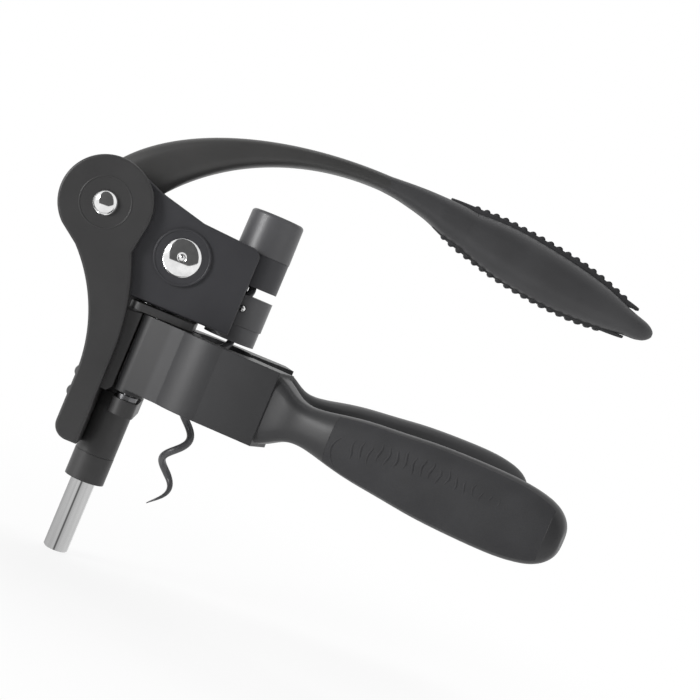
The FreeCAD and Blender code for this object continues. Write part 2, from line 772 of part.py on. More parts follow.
def jaw(side, word, spread):
    """One jaw: hinge barrel, half of the cup that holds the bottle's neck, and the handle."""
    cup_x = "-Dim.hinge_x"
    cup_y = f"{-side} * Dim.hinge_y"
    tube_x = "Dim.rod_x - Dim.hinge_x"
    ring = cylinder(f"Cup_{word}", "Dim.cup_radius", "Dim.jaw_top", cup_x, cup_y)
    split = "(Dim.hinge_y - Dim.shut_half_gap)"
    reach = "(Dim.cup_radius + Dim.hinge_y)"
    if side < 0:
        rows = (f"-{reach}", split)
    else:
        rows = (f"-{split}", reach)
    room = box(f"Room_{word}", "0", "Dim.cup_radius - Dim.hinge_x", *rows, "0", "Dim.jaw_top")
    half_ring = common(f"HalfCup_{word}", ring, room)
    web_rows = ("-Dim.barrel_radius", "Dim.barrel_radius / 2")
    if side > 0:
        web_rows = ("-Dim.barrel_radius / 2", "Dim.barrel_radius")
    web = box(f"BarrelWeb_{word}", "0", "Dim.barrel_web", *web_rows, "0", "Dim.jaw_top")
    wrist = wrist_block(side, word)
    barrel = cylinder(f"Barrel_{word}", "Dim.barrel_radius", "Dim.jaw_top - Dim.barrel_foot",
                      z="Dim.barrel_foot")
    handle = feature(f"Handle_{word}", handle_solid(side))
    solid = joined(f"JawSolid_{word}", [half_ring, web, wrist, barrel, handle])
    holes = [
        cylinder(f"NeckBore_{word}", "Dim.cup_bore", "Dim.lip_z", cup_x, cup_y),
        cylinder(f"LipBore_{word}", "Dim.lip_bore", "Dim.jaw_top", cup_x, cup_y),
        cylinder(f"TubeRoom_{word}", "Dim.tube_clear", "Dim.jaw_top", tube_x, cup_y),
        cylinder(f"PinBore_{word}", "Dim.hinge_pin_radius + Dim.turn_fit",
                 "Dim.jaw_top - Dim.barrel_foot", z="Dim.barrel_foot"),
        inset_room(side, f"InsetRoom_{word}"),
    ]
    result = cut(f"Jaw_{word}", solid, joined(f"JawHoles_{word}", holes))
    return node(hung(result, side, spread), f"{word}_jaw")


def inset_room(side, name):
    """The outer layer of a handle, where its soft inset lies."""
    face = "(Dim.grip_outer - Dim.inset_deep - Dim.hinge_y)"
    beyond = "(Dim.grip_outer + Dim.past - Dim.hinge_y)"
    rows = (f"-{beyond}", f"-{face}") if side < 0 else (face, beyond)
    return box(name, "Dim.grip_start_x - Dim.hinge_x", "Dim.inset_end_x - Dim.hinge_x", *rows,
               "-Dim.past", "Dim.jaw_top + Dim.past")


def jaw_inset(side, word, spread):
    """The soft grip that is let into the outer face of a jaw's handle."""
    whole = feature(f"InsetHandle_{word}", handle_solid(side))
    inset = common(f"Inset_{word}", whole, inset_room(side, f"InsetSlab_{word}"))
    return node(hung(inset, side, spread), f"{word}_grip_inset")


def jaw_pad(side, word, spread):
    """The half liner that the bottle's neck bears on."""
    cup_x = "-Dim.hinge_x"
    cup_y = f"{-side} * Dim.hinge_y"
    outside = cylinder(f"PadOut_{word}", "Dim.cup_bore", "Dim.lip_z", cup_x, cup_y)
    inside = cylinder(f"PadIn_{word}", "Dim.cup_bore - Dim.collar_pad", "Dim.lip_z", cup_x, cup_y)
    ring = cut(f"PadRing_{word}", outside, inside)
    split = "(Dim.hinge_y - Dim.shut_half_gap)"
    reach = "(Dim.cup_bore + Dim.hinge_y)"
    rows = (f"-{reach}", split) if side < 0 else (f"-{split}", reach)
    keep_from = "-Dim.hinge_x - Dim.cup_bore * cos(Dim.pad_from)"
    keep_to = "-Dim.hinge_x + Dim.cup_bore"
    room = box(f"PadRoom_{word}", keep_from, keep_to, *rows, "0", "Dim.lip_z")
    return node(hung(common(f"Pad_{word}", ring, room), side, spread), f"{word}_neck_pad")


# --- lever ----------------------------------------------------------------------------------

def arm_edge(name, share):
    """A point on one of the arm's two ellipses: share 0 is by the hub, 1 is in the grip."""
    centre = FreeCAD.Vector(value(f"Dim.{name}_x"), 0, value(f"Dim.{name}_z"))
    long = value(f"Dim.{name}_long")
    high = value(f"Dim.{name}_high")
    start = math.radians(value(f"Dim.{name}_root"))
    end = math.acos((value("Dim.arm_end_x") - centre.x) / long)
    angle = start + (end - start) * share
    return centre + FreeCAD.Vector(long * math.cos(angle), 0, high * math.sin(angle))


def arm_bar():
    """The arched bar as a loft of rounded sections square to its run."""
    half = value("Dim.arm_half")
    wires = []
    for step in range(ARM_STATIONS):
        share = step / (ARM_STATIONS - 1)
        top = arm_edge("arm_top", share)
        low = arm_edge("arm_low", share)
        middle = (top + low) / 2
        up = (top - low) / 2
        wires.append(closed_curve(middle, FreeCAD.Vector(0, half, 0), up, ARM_POWER))
    return Part.makeLoft(wires, True, False)


def lever_arm():
    """The arched bar of the lever, with its hub about the pivot."""
    half = value("Dim.lever_hub_half")
    foot = FreeCAD.Vector(value("Dim.pivot_x"), -half, value("Dim.pivot_z"))
    away = FreeCAD.Vector(0, 1, 0)
    hub = Part.makeCylinder(value("Dim.lever_hub_radius"), 2 * half, foot, away)
    bore = Part.makeCylinder(value("Dim.bush_radius"), 2 * half, foot, away)
    solid = arm_bar().fuse(hub).cut(bore).cut(grip_solid()).cut(rim_plate())
    return node(feature("LeverArm", solid), "lever_arm")


def grip_rows():
    """The lever grip's chosen sections: place, middle height, half height, half width."""
    return [[value(f"Dim.{name}_{part}") for part in SECTION_SIZES] for name in GRIP_SECTIONS]


def smooth(places, heights, x):
    """A smooth curve through points that never swings past them."""
    slopes = [(b - a) / (d - c) for a, b, c, d in zip(heights, heights[1:], places, places[1:])]
    tangents = [slopes[0]]
    for left, right in zip(slopes, slopes[1:]):
        tangents.append(0.0 if left * right <= 0 else 2 * left * right / (left + right))
    tangents.append(slopes[-1])
    index = max(0, min(len(places) - 2, sum(1 for place_x in places if place_x <= x) - 1))
    step = places[index + 1] - places[index]
    share = (x - places[index]) / step
    rise = heights[index + 1] - heights[index]
    first = tangents[index] * step
    last = tangents[index + 1] * step
    bend = share * (first + share * (3 * rise - 2 * first - last))
    return heights[index] + bend + share ** 3 * (first + last - 2 * rise)


def grip_at(x):
    """Middle height, half height and half width of the lever's grip at x."""
    rows = grip_rows()
    places = [row[0] for row in rows]
    return [smooth(places, [row[part] for row in rows], x) for part in (1, 2, 3)]


def grip_solid():
    """The whole body of the lever's grip."""
    root = value("Dim.root_x")
    tip = value("Dim.tip_x")
    wires = []
    for step in range(GRIP_STATIONS):
        x = root + (tip - root) * math.sin(math.pi / 2 * step / (GRIP_STATIONS - 1))
        mid, half, side = grip_at(x)
        wires.append(section(x, 0, mid, side, half, GRIP_POWER))
    return Part.makeLoft(wires, True, False)


def rim_run(sign, over):
    """One long edge of the rubber rim: outside the grip along the palm, just inside at its ends."""
    near = value("Dim.root_x")
    far = value("Dim.tip_x") - value("Dim.rim_sink")
    rise = value("Dim.rim_rise")
    sink = value("Dim.rim_sink")
    points = []
    for step in range(RIM_POINTS):
        x = near + (far - near) * step / (RIM_POINTS - 1)
        mid, half, side = grip_at(x)
        out = ease((x - near) / rise) * ease((far - x) / rise)
        points.append(FreeCAD.Vector(x, 0, mid + sign * (half + (over + sink) * out - sink)))
    curve = Part.BSplineCurve()
    curve.interpolate(points)
    return curve.toShape()


def rim_plate():
    """The shape of the rubber plate between the shells, standing out above and below them."""
    half = value("Dim.rim_half")
    top = rim_run(1, value("Dim.rim_over"))
    low = rim_run(-1, value("Dim.rim_under"))
    ends = [Part.LineSegment(top.Vertexes[spot].Point, low.Vertexes[spot].Point).toShape()
            for spot in (0, -1)]
    plate = Part.Face(Part.Wire(Part.sortEdges([top, low] + ends)[0]))
    plate = plate.extrude(FreeCAD.Vector(0, 2 * half, 0))
    plate.translate(FreeCAD.Vector(0, -half, 0))
    return plate


def lever_rim():
    """The rubber rim of the lever's grip."""
    return node(feature("LeverRim", rim_plate()), "lever_grip_rim")


def grip_shell(side, label):
    """One of the two shells of the lever's grip, on either side of the rubber plate."""
    whole = feature(f"GripWhole_{label}", grip_solid())
    reach = "(Dim.belly_side + Dim.past)"
    rows = (f"-{reach}", "Dim.rim_half") if side > 0 else ("-Dim.rim_half", reach)
    away = box(f"GripAway_{label}", "Dim.root_x - Dim.past", "Dim.tip_x + Dim.past", *rows,
               "Dim.tip_mid - 2 * Dim.belly_half", "Dim.root_mid + 2 * Dim.belly_half")
    return node(cut(f"GripShell_{label}", whole, away), label)


def lever_bush():
    """The bearing sleeve between the lever's hub and its pin."""
    long = "2 * (Dim.lever_hub_half + Dim.crank_thick)"
    where = ("Dim.pivot_x", "-(Dim.lever_hub_half + Dim.crank_thick)", "Dim.pivot_z")
    outside = cylinder("BushOut", "Dim.bush_radius", long, *where, along_y=True)
    inside = cylinder("BushIn", "Dim.pivot_pin_radius + Dim.turn_fit", long, *where, along_y=True)
    return node(cut("LeverBush", outside, inside), "lever_bush")


def crank_tip():
    """Expressions of the roller's centre at rest."""
    return circle_point("Dim.pivot_x", "Dim.pivot_z", "Dim.crank_long", "Dim.crank_angle")


def crank_corners():
    """Outline of a crank plate: two round ends joined by their common tangents."""
    lean = "acos((Dim.crank_hub_radius - Dim.crank_eye_radius) / Dim.crank_long) / 1 deg"
    hub = ("Dim.pivot_x", "Dim.pivot_z", "Dim.crank_hub_radius")
    eye = (*crank_tip(), "Dim.crank_eye_radius")
    left = f"Dim.crank_angle + {lean}"
    right = f"Dim.crank_angle - {lean}"
    return [
        corner(*circle_point(*hub, left), arc=(*hub, 1)),
        corner(*circle_point(*hub, right)),
        corner(*circle_point(*eye, right), arc=(*eye, 1)),
        corner(*circle_point(*eye, left)),
    ]


def crank_plates():
    """The two steel plates on the lever's hub that push the carriage."""
    plates = []
    for side, word in ((-1, "front"), (1, "back")):
        body = new("PartDesign::Body", f"Body_crank_{word}")
        far = "Dim.lever_hub_half + Dim.crank_thick"
        start = span_from(side, "Dim.lever_hub_half", far)
        pad(body, f"Crank_{word}", "XZ_Plane", crank_corners(), start, "Dim.crank_thick")
        start_y = "Dim.lever_hub_half" if side > 0 else f"-({far})"
        hole = cylinder(f"CrankHole_{word}", "Dim.bush_radius", "Dim.crank_thick",
                        "Dim.pivot_x", start_y, "Dim.pivot_z", along_y=True)
        plates.append(cut(f"CrankPlate_{word}", body, hole))
    return node(group("CrankPlates", plates), "crank_plates")


def crank_rollers():
    """The roller on each crank plate, which runs in the carriage's groove."""
    rollers = []
    tip_x, tip_z = crank_tip()
    near = "(Dim.lever_hub_half + Dim.crank_thick)"
    for side, word in ((-1, "front"), (1, "back")):
        start = near if side > 0 else f"-({near} + Dim.roller_long)"
        rollers.append(cylinder(f"Roller_{word}", "Dim.roller_radius", "Dim.roller_long",
                                tip_x, start, tip_z, along_y=True))
    return node(group("CrankRollers", rollers), "crank_rollers")


# --- carriage -------------------------------------------------------------------------------

def block_corners():
    """Outline of a carriage cheek."""
    turn_x = "Dim.block_right - Dim.block_corner"
    turn_z = "Dim.block_top - Dim.block_corner"
    return [
        corner("Dim.block_left", "Dim.block_cut_z"),
        corner("Dim.block_left", "Dim.block_shoulder_z"),
        corner("Dim.block_peak_x", "Dim.block_peak_z"),
        corner("Dim.block_slope_x", "Dim.block_slope_z"),
        corner("Dim.block_flat_x", "Dim.block_flat_z"),
        corner(turn_x, "Dim.block_top", arc=(turn_x, turn_z, "Dim.block_corner", -1)),
        corner("Dim.block_right", turn_z),
        corner("Dim.block_right", "Dim.block_foot"),
        corner("Dim.block_cut_x", "Dim.block_foot"),
    ]


def groove_path():
    """Centres of the roller seen from the carriage, over the lever's whole swing."""
    swing = value("Dim.lever_swing")
    travel = value("Dim.travel")
    reach = value("Dim.crank_long")
    path = []
    for step in range(GROOVE_STEPS + 1):
        turned = swing * step / GROOVE_STEPS
        angle = math.radians(value("Dim.crank_angle") + turned)
        x = value("Dim.pivot_x") + reach * math.cos(angle)
        z = value("Dim.pivot_z") + reach * math.sin(angle) - travel * turned / swing
        path.append(FreeCAD.Vector(x, 0, z))
    return path


def groove_solid(side):
    """The blind groove that the roller runs in: its path, widened by the roller and the gap."""
    outline = Part.makePolygon(groove_path()).makeOffset2D(value("Dim.roller_radius + Dim.gap"))
    outline.translate(FreeCAD.Vector(0, side * value("Dim.block_inner"), 0))
    return Part.Face(outline).extrude(FreeCAD.Vector(0, side * value("Dim.groove_deep"), 0))


def block_cheek(side, word):
    """One cheek of the carriage, with its groove inside and its boss outside."""
    body = new("PartDesign::Body", f"Body_block_{word}")
    thick = "Dim.block_outer - Dim.block_inner"
    start = span_from(side, "Dim.block_inner", "Dim.block_outer")
    slab = pad(body, f"Slab_{word}", "XZ_Plane", block_corners(), start, thick)
    rounded(body, f"SlabRound_{word}", slab, "Dim.block_round", lies_at(side * value("Dim.block_outer")))
    high = "Dim.boss_high"
    boss_y = "Dim.block_outer" if side > 0 else f"-(Dim.block_outer + {high})"
    boss = cylinder(f"Boss_{word}", "Dim.boss_radius", high, "Dim.clamp_x", boss_y, "Dim.clamp_z",
                    along_y=True)
    hole_y = "Dim.block_inner" if side > 0 else f"-(Dim.block_outer + {high})"
    hole = cylinder(f"ClampHole_{word}", "Dim.clamp_radius", f"{thick} + {high}",
                    "Dim.clamp_x", hole_y, "Dim.clamp_z", along_y=True)
    groove = feature(f"Groove_{word}", groove_solid(side))
    solid = joined(f"CheekSolid_{word}", [body, boss])
    holes = joined(f"CheekHoles_{word}", [hole, groove])
    return node(cut(f"Cheek_{word}", solid, holes), f"carriage_{word}_cheek")


def carriage_core():
    """The block between the cheeks that grips the rod and carries the worm's bearing."""
    web = box("CoreWeb", "Dim.web_left", "Dim.cap_x", "-Dim.web_half", "Dim.web_half",
              "Dim.web_foot", "Dim.web_top")
    bridge = box("CoreBridge", "Dim.web_left + Dim.bridge_inset", "Dim.block_right - Dim.bridge_inset",
                 "-Dim.block_inner", "Dim.block_inner", "Dim.web_foot", "Dim.web_top")
    collar = cylinder("CoreCollar", "Dim.collar_radius", "Dim.cap_low - Dim.collar_foot",
                      "Dim.cap_x", "0", "Dim.collar_foot")
    solid = joined("CoreSolid", [web, bridge, collar])
    length = "Dim.head_low - Dim.thrust_thick - Dim.web_foot"
    holes = [
        hexagon("RodSeat", "Dim.rod_flats", "Dim.web_foot", "Dim.web_top"),
        box("NutRise", "Dim.web_step_x", "Dim.cap_x + Dim.past", "-Dim.block_inner", "Dim.block_inner",
            "Dim.web_foot", "Dim.collar_foot"),
        cylinder("WormHole", "Dim.worm_bore", length, z="Dim.web_foot"),
        cylinder("HeadRoom", "Dim.worm_head_radius + Dim.gap",
                 "Dim.cap_low - Dim.head_low + Dim.thrust_thick", z="Dim.head_low - Dim.thrust_thick"),
        cylinder("ClampBore", "Dim.clamp_radius", "2 * Dim.block_inner", "Dim.clamp_x",
                 "-Dim.block_inner", "Dim.clamp_z", along_y=True),
    ]
    return node(cut("CarriageCore", solid, joined("CoreHoles", holes)), "carriage_core")


def clamp_bolt():
    """The bolt across the carriage that locks the rod, with its polished front head."""
    outer = "(Dim.block_outer + Dim.boss_high)"
    shaft = cylinder("ClampShaft", "Dim.clamp_radius", f"2 * {outer}", "Dim.clamp_x",
                     f"-{outer}", "Dim.clamp_z", along_y=True)
    head = dome("ClampHead", value("Dim.clamp_head_radius"), value("Dim.clamp_head_high"))
    facing_front(head, "Dim.clamp_x", f"-{outer}", "Dim.clamp_z")
    return node(joined("ClampBolt", [shaft, head]), "clamp_bolt")


def clamp_cap():
    """The domed nut on the far end of the clamping bolt."""
    head = dome("ClampCap", value("Dim.clamp_head_radius"), value("Dim.clamp_head_high"))
    outer = "Dim.block_outer + Dim.boss_high"
    return node(facing_front(head, "Dim.clamp_x", outer, "Dim.clamp_z", side=1), "clamp_nut")


def guide_rod():
    """The six-sided rod that carries the carriage."""
    bar = hexagon("RodBar", "Dim.rod_flats", "Dim.rod_foot", "Dim.rod_top")
    tip = new("Part::Cone", "RodTip")
    widest = "(Dim.rod_flats / 2 / cos(30))"
    bind(tip, Radius1=f"{widest} - Dim.rod_chamfer", Height="Dim.rod_top - Dim.rod_foot")
    bind(tip, Radius2=f"{widest} - Dim.rod_chamfer + Dim.rod_top - Dim.rod_foot")
    place(tip, "Dim.rod_x", "0", "Dim.rod_foot")
    notch = cylinder("RodNotch", "Dim.clamp_radius", "Dim.rod_flats * 2", "Dim.clamp_x",
                     "-Dim.rod_flats", "Dim.clamp_z", along_y=True)
    return node(cut("GuideRod", common("RodPointed", bar, tip), notch), "guide_rod")


def bearing_cap():
    """The cap over the worm's head."""
    body = new("PartDesign::Body", "Body_bearing_cap")
    high = "Dim.cap_top - Dim.cap_low"
    shell = body.newObject("PartDesign::AdditiveCone", "CapCone")
    bind(shell, Radius1="Dim.cap_radius", Radius2="Dim.cap_top_radius", Height=high)
    doc.recompute()

    def rim(edge):
        return edge.BoundBox.ZMin > value(high) - 0.1

    rounded(body, "CapRound", shell, "Dim.cap_round", rim)
    place(body, "Dim.cap_x", "0", "Dim.cap_low")
    room = cylinder("CapRoom", "Dim.worm_head_radius + Dim.gap", "Dim.head_top + Dim.gap - Dim.cap_low",
                    z="Dim.cap_low")
    return node(cut("BearingCap", body, room), "bearing_cap")


def thrust_washer():
    """The washer that the worm's head bears on."""
    low = "Dim.head_low - Dim.thrust_thick"
    disc = cylinder("ThrustDisc", "Dim.worm_head_radius + Dim.gap",
                    "Dim.thrust_thick - Dim.slide_fit", z=low)
    hole = cylinder("ThrustHole", "Dim.worm_bore", "Dim.thrust_thick", z=low)
    return node(cut("ThrustWasher", disc, hole), "thrust_washer")


# --- worm -----------------------------------------------------------------------------------

def worm_centre(z):
    """Centre of the worm's wire at a height, on its helix."""
    turned = 360 * (z - value("Dim.worm_tip_z")) / value("Dim.worm_pitch")
    angle = math.radians(value("Dim.worm_tip_angle") + turned)
    radius = value("Dim.worm_mean_radius")
    return FreeCAD.Vector(radius * math.cos(angle), radius * math.sin(angle), z)


def helix_between(low, high):
    """A right-handed helix on the worm's axis between two heights."""
    pitch = value("Dim.worm_pitch")
    spine = Part.makeLongHelix(pitch, high - low, value("Dim.worm_mean_radius"), 0, False)
    start = worm_centre(low)
    turn = FreeCAD.Rotation(FreeCAD.Vector(0, 0, 1), math.degrees(math.atan2(start.y, start.x)))
    spine.Placement = FreeCAD.Placement(FreeCAD.Vector(0, 0, low), turn)
    return spine


def wire_circle(z, radius):
    """The round section of the wire at a height, square to the helix."""
    centre = worm_centre(z)
    rise = value("Dim.worm_pitch") / (2 * math.pi)
    along = FreeCAD.Vector(-centre.y, centre.x, rise)
    return Part.Wire([Part.makeCircle(radius, centre, along)])


def swept(low, high, low_radius, high_radius):
    """A stretch of the worm's wire whose radius runs evenly from one value to another."""
    sweep = Part.BRepOffsetAPI.MakePipeShell(Part.Wire(helix_between(low, high).Edges))
    sweep.setFrenetMode(True)
    sweep.add(wire_circle(low, low_radius))
    if low_radius != high_radius:
        sweep.add(wire_circle(high, high_radius))
    sweep.build()
    sweep.makeSolid()
    return sweep.shape()


def worm():
    """The coiled wire that enters the cork."""
    tip = value("Dim.worm_tip_z")
    shoulder = tip + value("Dim.worm_tip_turns") * value("Dim.worm_pitch")
    top = value("Dim.head_low") + value("Dim.worm_wire_radius")
    thick = value("Dim.worm_wire_radius")
    point = swept(tip, shoulder, value("Dim.worm_point_radius"), thick)
    coil = swept(shoulder, top, thick, thick)
    return node(feature("Worm", coil.fuse(point)), "worm")


def worm_head():
    """The round head that holds the worm in its bearing."""
    solid = cylinder("HeadSolid", "Dim.worm_head_radius", "Dim.head_top - Dim.head_low", z="Dim.head_low")
    seat = feature("HeadSeat", doc.getObject("Worm").Shape)
    return node(cut("WormHead", solid, seat), "worm_head")


# --- nut ------------------------------------------------------------------------------------

def nut_carrier():
    """The slider on the rod that carries the nut."""
    half = "Dim.carrier_half"
    hub = box("CarrierHub", "Dim.carrier_left", "Dim.carrier_hub_right", f"-{half}", half,
              "Dim.carrier_hub_low", "Dim.carrier_hub_top")
    arm = box("CarrierArm", "Dim.carrier_hub_right - Dim.weld", "Dim.cap_x", f"-{half}", half,
              "Dim.carrier_arm_low", "Dim.carrier_arm_top")
    foot = cylinder("NutFoot", "Dim.nut_foot_radius", "Dim.nut_step_z - Dim.nut_low",
                    "Dim.cap_x", "0", "Dim.nut_low")
    housing = cylinder("NutHousing", "Dim.nut_radius", "Dim.nut_top - Dim.nut_step_z",
                       "Dim.cap_x", "0", "Dim.nut_step_z")
    solid = joined("CarrierSolid", [hub, arm, foot, housing])
    holes = [
        hexagon("CarrierBore", "Dim.rod_flats + 2 * Dim.gap", "Dim.carrier_hub_low", "Dim.carrier_hub_top"),
        cylinder("NutRoom", "Dim.nut_insert_radius", "Dim.nut_insert_top - Dim.nut_insert_low",
                 z="Dim.nut_insert_low"),
        cylinder("NutWay", "Dim.nut_bore", "Dim.nut_top - Dim.nut_low", z="Dim.nut_low"),
        cylinder("LatchHole", "Dim.ball_radius", "Dim.ball_room + Dim.nut_radius - Dim.ball_y + Dim.past",
                 "Dim.latch_x", "-Dim.nut_radius - Dim.past", "Dim.latch_z", along_y=True),
    ]
    return node(cut("NutCarrier", solid, joined("CarrierHoles", holes)), "nut_carrier")


def nut_insert():
    """The nut that the worm runs through."""
    long = "Dim.nut_insert_top - Dim.nut_insert_low"
    outside = cylinder("InsertOut", "Dim.nut_insert_radius", long, z="Dim.nut_insert_low")
    inside = cylinder("InsertIn", "Dim.nut_bore", long, z="Dim.nut_insert_low")
    return node(cut("NutInsert", outside, inside), "nut_insert")


def latch_ball():
    """The steel ball that holds the carrier down."""
    ball = new("Part::Sphere", "LatchBall")
    bind(ball, Radius="Dim.ball_radius")
    return node(place(ball, "Dim.latch_x", "-Dim.ball_y", "Dim.latch_z"), "latch_ball")


def build():
    """Make every sub-part."""
    fill_sheet()
    frame_half(-1, "frame_front_half")
    frame_half(1, "frame_back_half")
    guide_tube()
    guide_ring()
    pivot_pin()
    pivot_cap()
    hinge_plate()
    hinge_pins()
    hinge_washers()
    back_screws()
    for side, word, spread in ((-1, "front", "Dim.front_spread"), (1, "back", "Dim.back_spread")):
        jaw(side, word, spread)
        jaw_pad(side, word, spread)
        jaw_inset(side, word, spread)
    lever_arm()
    lever_bush()
    grip_shell(-1, "lever_grip_front_shell")
    grip_shell(1, "lever_grip_back_shell")
    lever_rim()
    crank_plates()
    crank_rollers()
    block_cheek(-1, "front")
    block_cheek(1, "back")
    carriage_core()
    clamp_bolt()
    clamp_cap()
    guide_rod()
    bearing_cap()
    thrust_washer()
    worm()
    worm_head()
    nut_carrier()
    nut_insert()
    latch_ball()
    doc.recompute()


def check():
    """Stop if any object failed or any sub-part has no valid solid."""
    for thing in doc.Objects:
        if "Invalid" in thing.State or "Error" in thing.State:
            raise RuntimeError(f"{thing.Name} failed: {thing.State}")
    for thing in nodes:
        if thing.Shape.isNull() or not thing.Shape.isValid() or not thing.Shape.Solids:
            raise RuntimeError(f"{thing.Label} has no valid solid")


def export():
    """Write each sub-part to its own file."""
    os.makedirs("parts", exist_ok=True)
    for thing in nodes:
        thing.Shape.exportStep(os.path.join("parts", f"{thing.Label}.step"))


build()
check()
export()
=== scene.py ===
import json
import math

import bmesh
import bpy
from mathutils import Matrix, Vector
from mathutils.bvhtree import BVHTree


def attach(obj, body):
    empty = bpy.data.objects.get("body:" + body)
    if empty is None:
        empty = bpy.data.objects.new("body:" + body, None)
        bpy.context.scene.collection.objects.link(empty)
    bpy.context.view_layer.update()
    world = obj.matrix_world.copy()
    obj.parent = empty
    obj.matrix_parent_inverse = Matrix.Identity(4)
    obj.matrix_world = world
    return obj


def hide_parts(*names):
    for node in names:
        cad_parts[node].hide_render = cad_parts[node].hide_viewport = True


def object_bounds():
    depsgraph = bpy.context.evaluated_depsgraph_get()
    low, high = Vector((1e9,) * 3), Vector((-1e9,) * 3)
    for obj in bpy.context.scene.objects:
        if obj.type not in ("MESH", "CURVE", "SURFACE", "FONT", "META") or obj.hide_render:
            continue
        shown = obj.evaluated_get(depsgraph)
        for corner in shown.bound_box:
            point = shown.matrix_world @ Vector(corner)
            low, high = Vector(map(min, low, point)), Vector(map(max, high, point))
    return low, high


MM = 0.001

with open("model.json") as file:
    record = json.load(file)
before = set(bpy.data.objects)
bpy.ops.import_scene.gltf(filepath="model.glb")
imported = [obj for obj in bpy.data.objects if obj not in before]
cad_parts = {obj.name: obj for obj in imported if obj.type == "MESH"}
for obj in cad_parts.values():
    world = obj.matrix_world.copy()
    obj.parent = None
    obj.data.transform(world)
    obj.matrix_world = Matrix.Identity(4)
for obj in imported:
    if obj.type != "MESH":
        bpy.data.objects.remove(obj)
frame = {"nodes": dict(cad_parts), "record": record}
cad_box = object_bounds()
nodes = frame["nodes"]
scene = bpy.context.scene


# ---------------------------------------------------------------- node graph helpers
NOISE_LOW, NOISE_HIGH = 0.3, 0.7     # where most of a noise field's values lie
NO_STRETCH = (1.0, 1.0, 1.0)


def blank_material(name):
    """A material with its node tree."""
    material = bpy.data.materials.new(name)
    material.use_nodes = True
    return material, material.node_tree


def add(tree, kind, **settings):
    """Add a node and choose its settings."""
    node = tree.nodes.new(kind)
    for key, setting in settings.items():
        setattr(node, key, setting)
    return node


def join(tree, source, out, target, into):
    """Link an output of one node to an input of another."""
    tree.links.new(source.outputs[out], target.inputs[into])


def feed(tree, source, socket):
    """Link an output to a socket, or give the socket a number."""
    if isinstance(source, bpy.types.NodeSocket):
        tree.links.new(source, socket)
    else:
        socket.default_value = source


def maths(tree, operation, first, second, **settings):
    """The sum, product, ratio or comparison of two outputs or numbers."""
    node = add(tree, "ShaderNodeMath", operation=operation, **settings)
    feed(tree, first, node.inputs[0])
    feed(tree, second, node.inputs[1])
    return node.outputs["Value"]


def blended(tree, factor, first, second):
    """A number that goes from the first to the second as the factor goes from 0 to 1."""
    node = add(tree, "ShaderNodeMix", data_type="FLOAT")
    feed(tree, factor, node.inputs["Factor"])
    feed(tree, first, node.inputs["A"])
    feed(tree, second, node.inputs["B"])
    return node.outputs["Result"]


def set_range(node, from_low, from_high, to_low, to_high):
    """Set the four limits of a Map Range node."""
    node.inputs["From Min"].default_value = from_low
    node.inputs["From Max"].default_value = from_high
    node.inputs["To Min"].default_value = to_low
    node.inputs["To Max"].default_value = to_high


def noise(tree, place, per_metre, detail, roughness=0.55):
    """A noise field at a real scale, so many grains to the metre."""
    node = add(tree, "ShaderNodeTexNoise")
    node.inputs["Scale"].default_value = per_metre
    node.inputs["Detail"].default_value = detail
    node.inputs["Roughness"].default_value = roughness
    tree.links.new(place, node.inputs["Vector"])
    return node


def spread(tree, field, low, high):
    """Maps the middle of a noise field on to a range."""
    node = add(tree, "ShaderNodeMapRange")
    set_range(node, NOISE_LOW, NOISE_HIGH, low, high)
    tree.links.new(field.outputs["Fac"], node.inputs["Value"])
    return node.outputs["Result"]


def clouded(tree, field, colour, darker, lighter):
    """A colour that drifts with a noise field, darker and lighter by shares of itself."""
    node = add(tree, "ShaderNodeMix", data_type="RGBA")
    node.inputs["A"].default_value = (*((1.0 - darker) * c for c in colour), 1.0)
    node.inputs["B"].default_value = (*(min(1.0, (1.0 + lighter) * c) for c in colour), 1.0)
    tree.links.new(spread(tree, field, 0.0, 1.0), node.inputs["Factor"])
    return node.outputs["Result"]


def rounded_edge(tree, radius):
    """A normal that shades a sharp edge as a rounded one, with its radius in millimetres."""
    node = add(tree, "ShaderNodeBevel", samples=4)
    node.inputs["Radius"].default_value = radius * MM
    return node.outputs["Normal"]


def bumped(tree, field, depth, normal=None):
    """A normal that a noise field roughens, with its depth in millimetres."""
    node = add(tree, "ShaderNodeBump")
    node.inputs["Strength"].default_value = 1.0
    node.inputs["Distance"].default_value = depth * MM
    tree.links.new(field.outputs["Fac"], node.inputs["Height"])
    if normal is not None:
        tree.links.new(normal, node.inputs["Normal"])
    return node.outputs["Normal"]


def object_place(tree, stretch=NO_STRETCH):
    """Places on the piece itself, so that a finish keeps its grain when the piece moves."""
    coords = add(tree, "ShaderNodeTexCoord")
    if stretch == NO_STRETCH:
        return coords.outputs["Object"]
    mapping = add(tree, "ShaderNodeMapping")
    mapping.inputs["Scale"].default_value = stretch
    tree.links.new(coords.outputs["Object"], mapping.inputs["Vector"])
    return mapping.outputs["Vector"]


def surface(tree):
    """The shader that a new material comes with."""
    return tree.nodes["Principled BSDF"]


def painted_shade_along_x(tree, place, tint, start, stop, share):
    """A tint that goes to a share of itself between two places along X, in millimetres, which
    paints shade into it.
    """
    axes = add(tree, "ShaderNodeSeparateXYZ")
    tree.links.new(place, axes.inputs["Vector"])
    fall = add(tree, "ShaderNodeMapRange", interpolation_type="SMOOTHSTEP")
    set_range(fall, start * MM, stop * MM, 1.0, share)
    join(tree, axes, "X", fall, "Value")
    product = add(tree, "ShaderNodeVectorMath", operation="SCALE")
    tree.links.new(tint, product.inputs[0])
    join(tree, fall, "Result", product, "Scale")
    return product.outputs["Vector"]


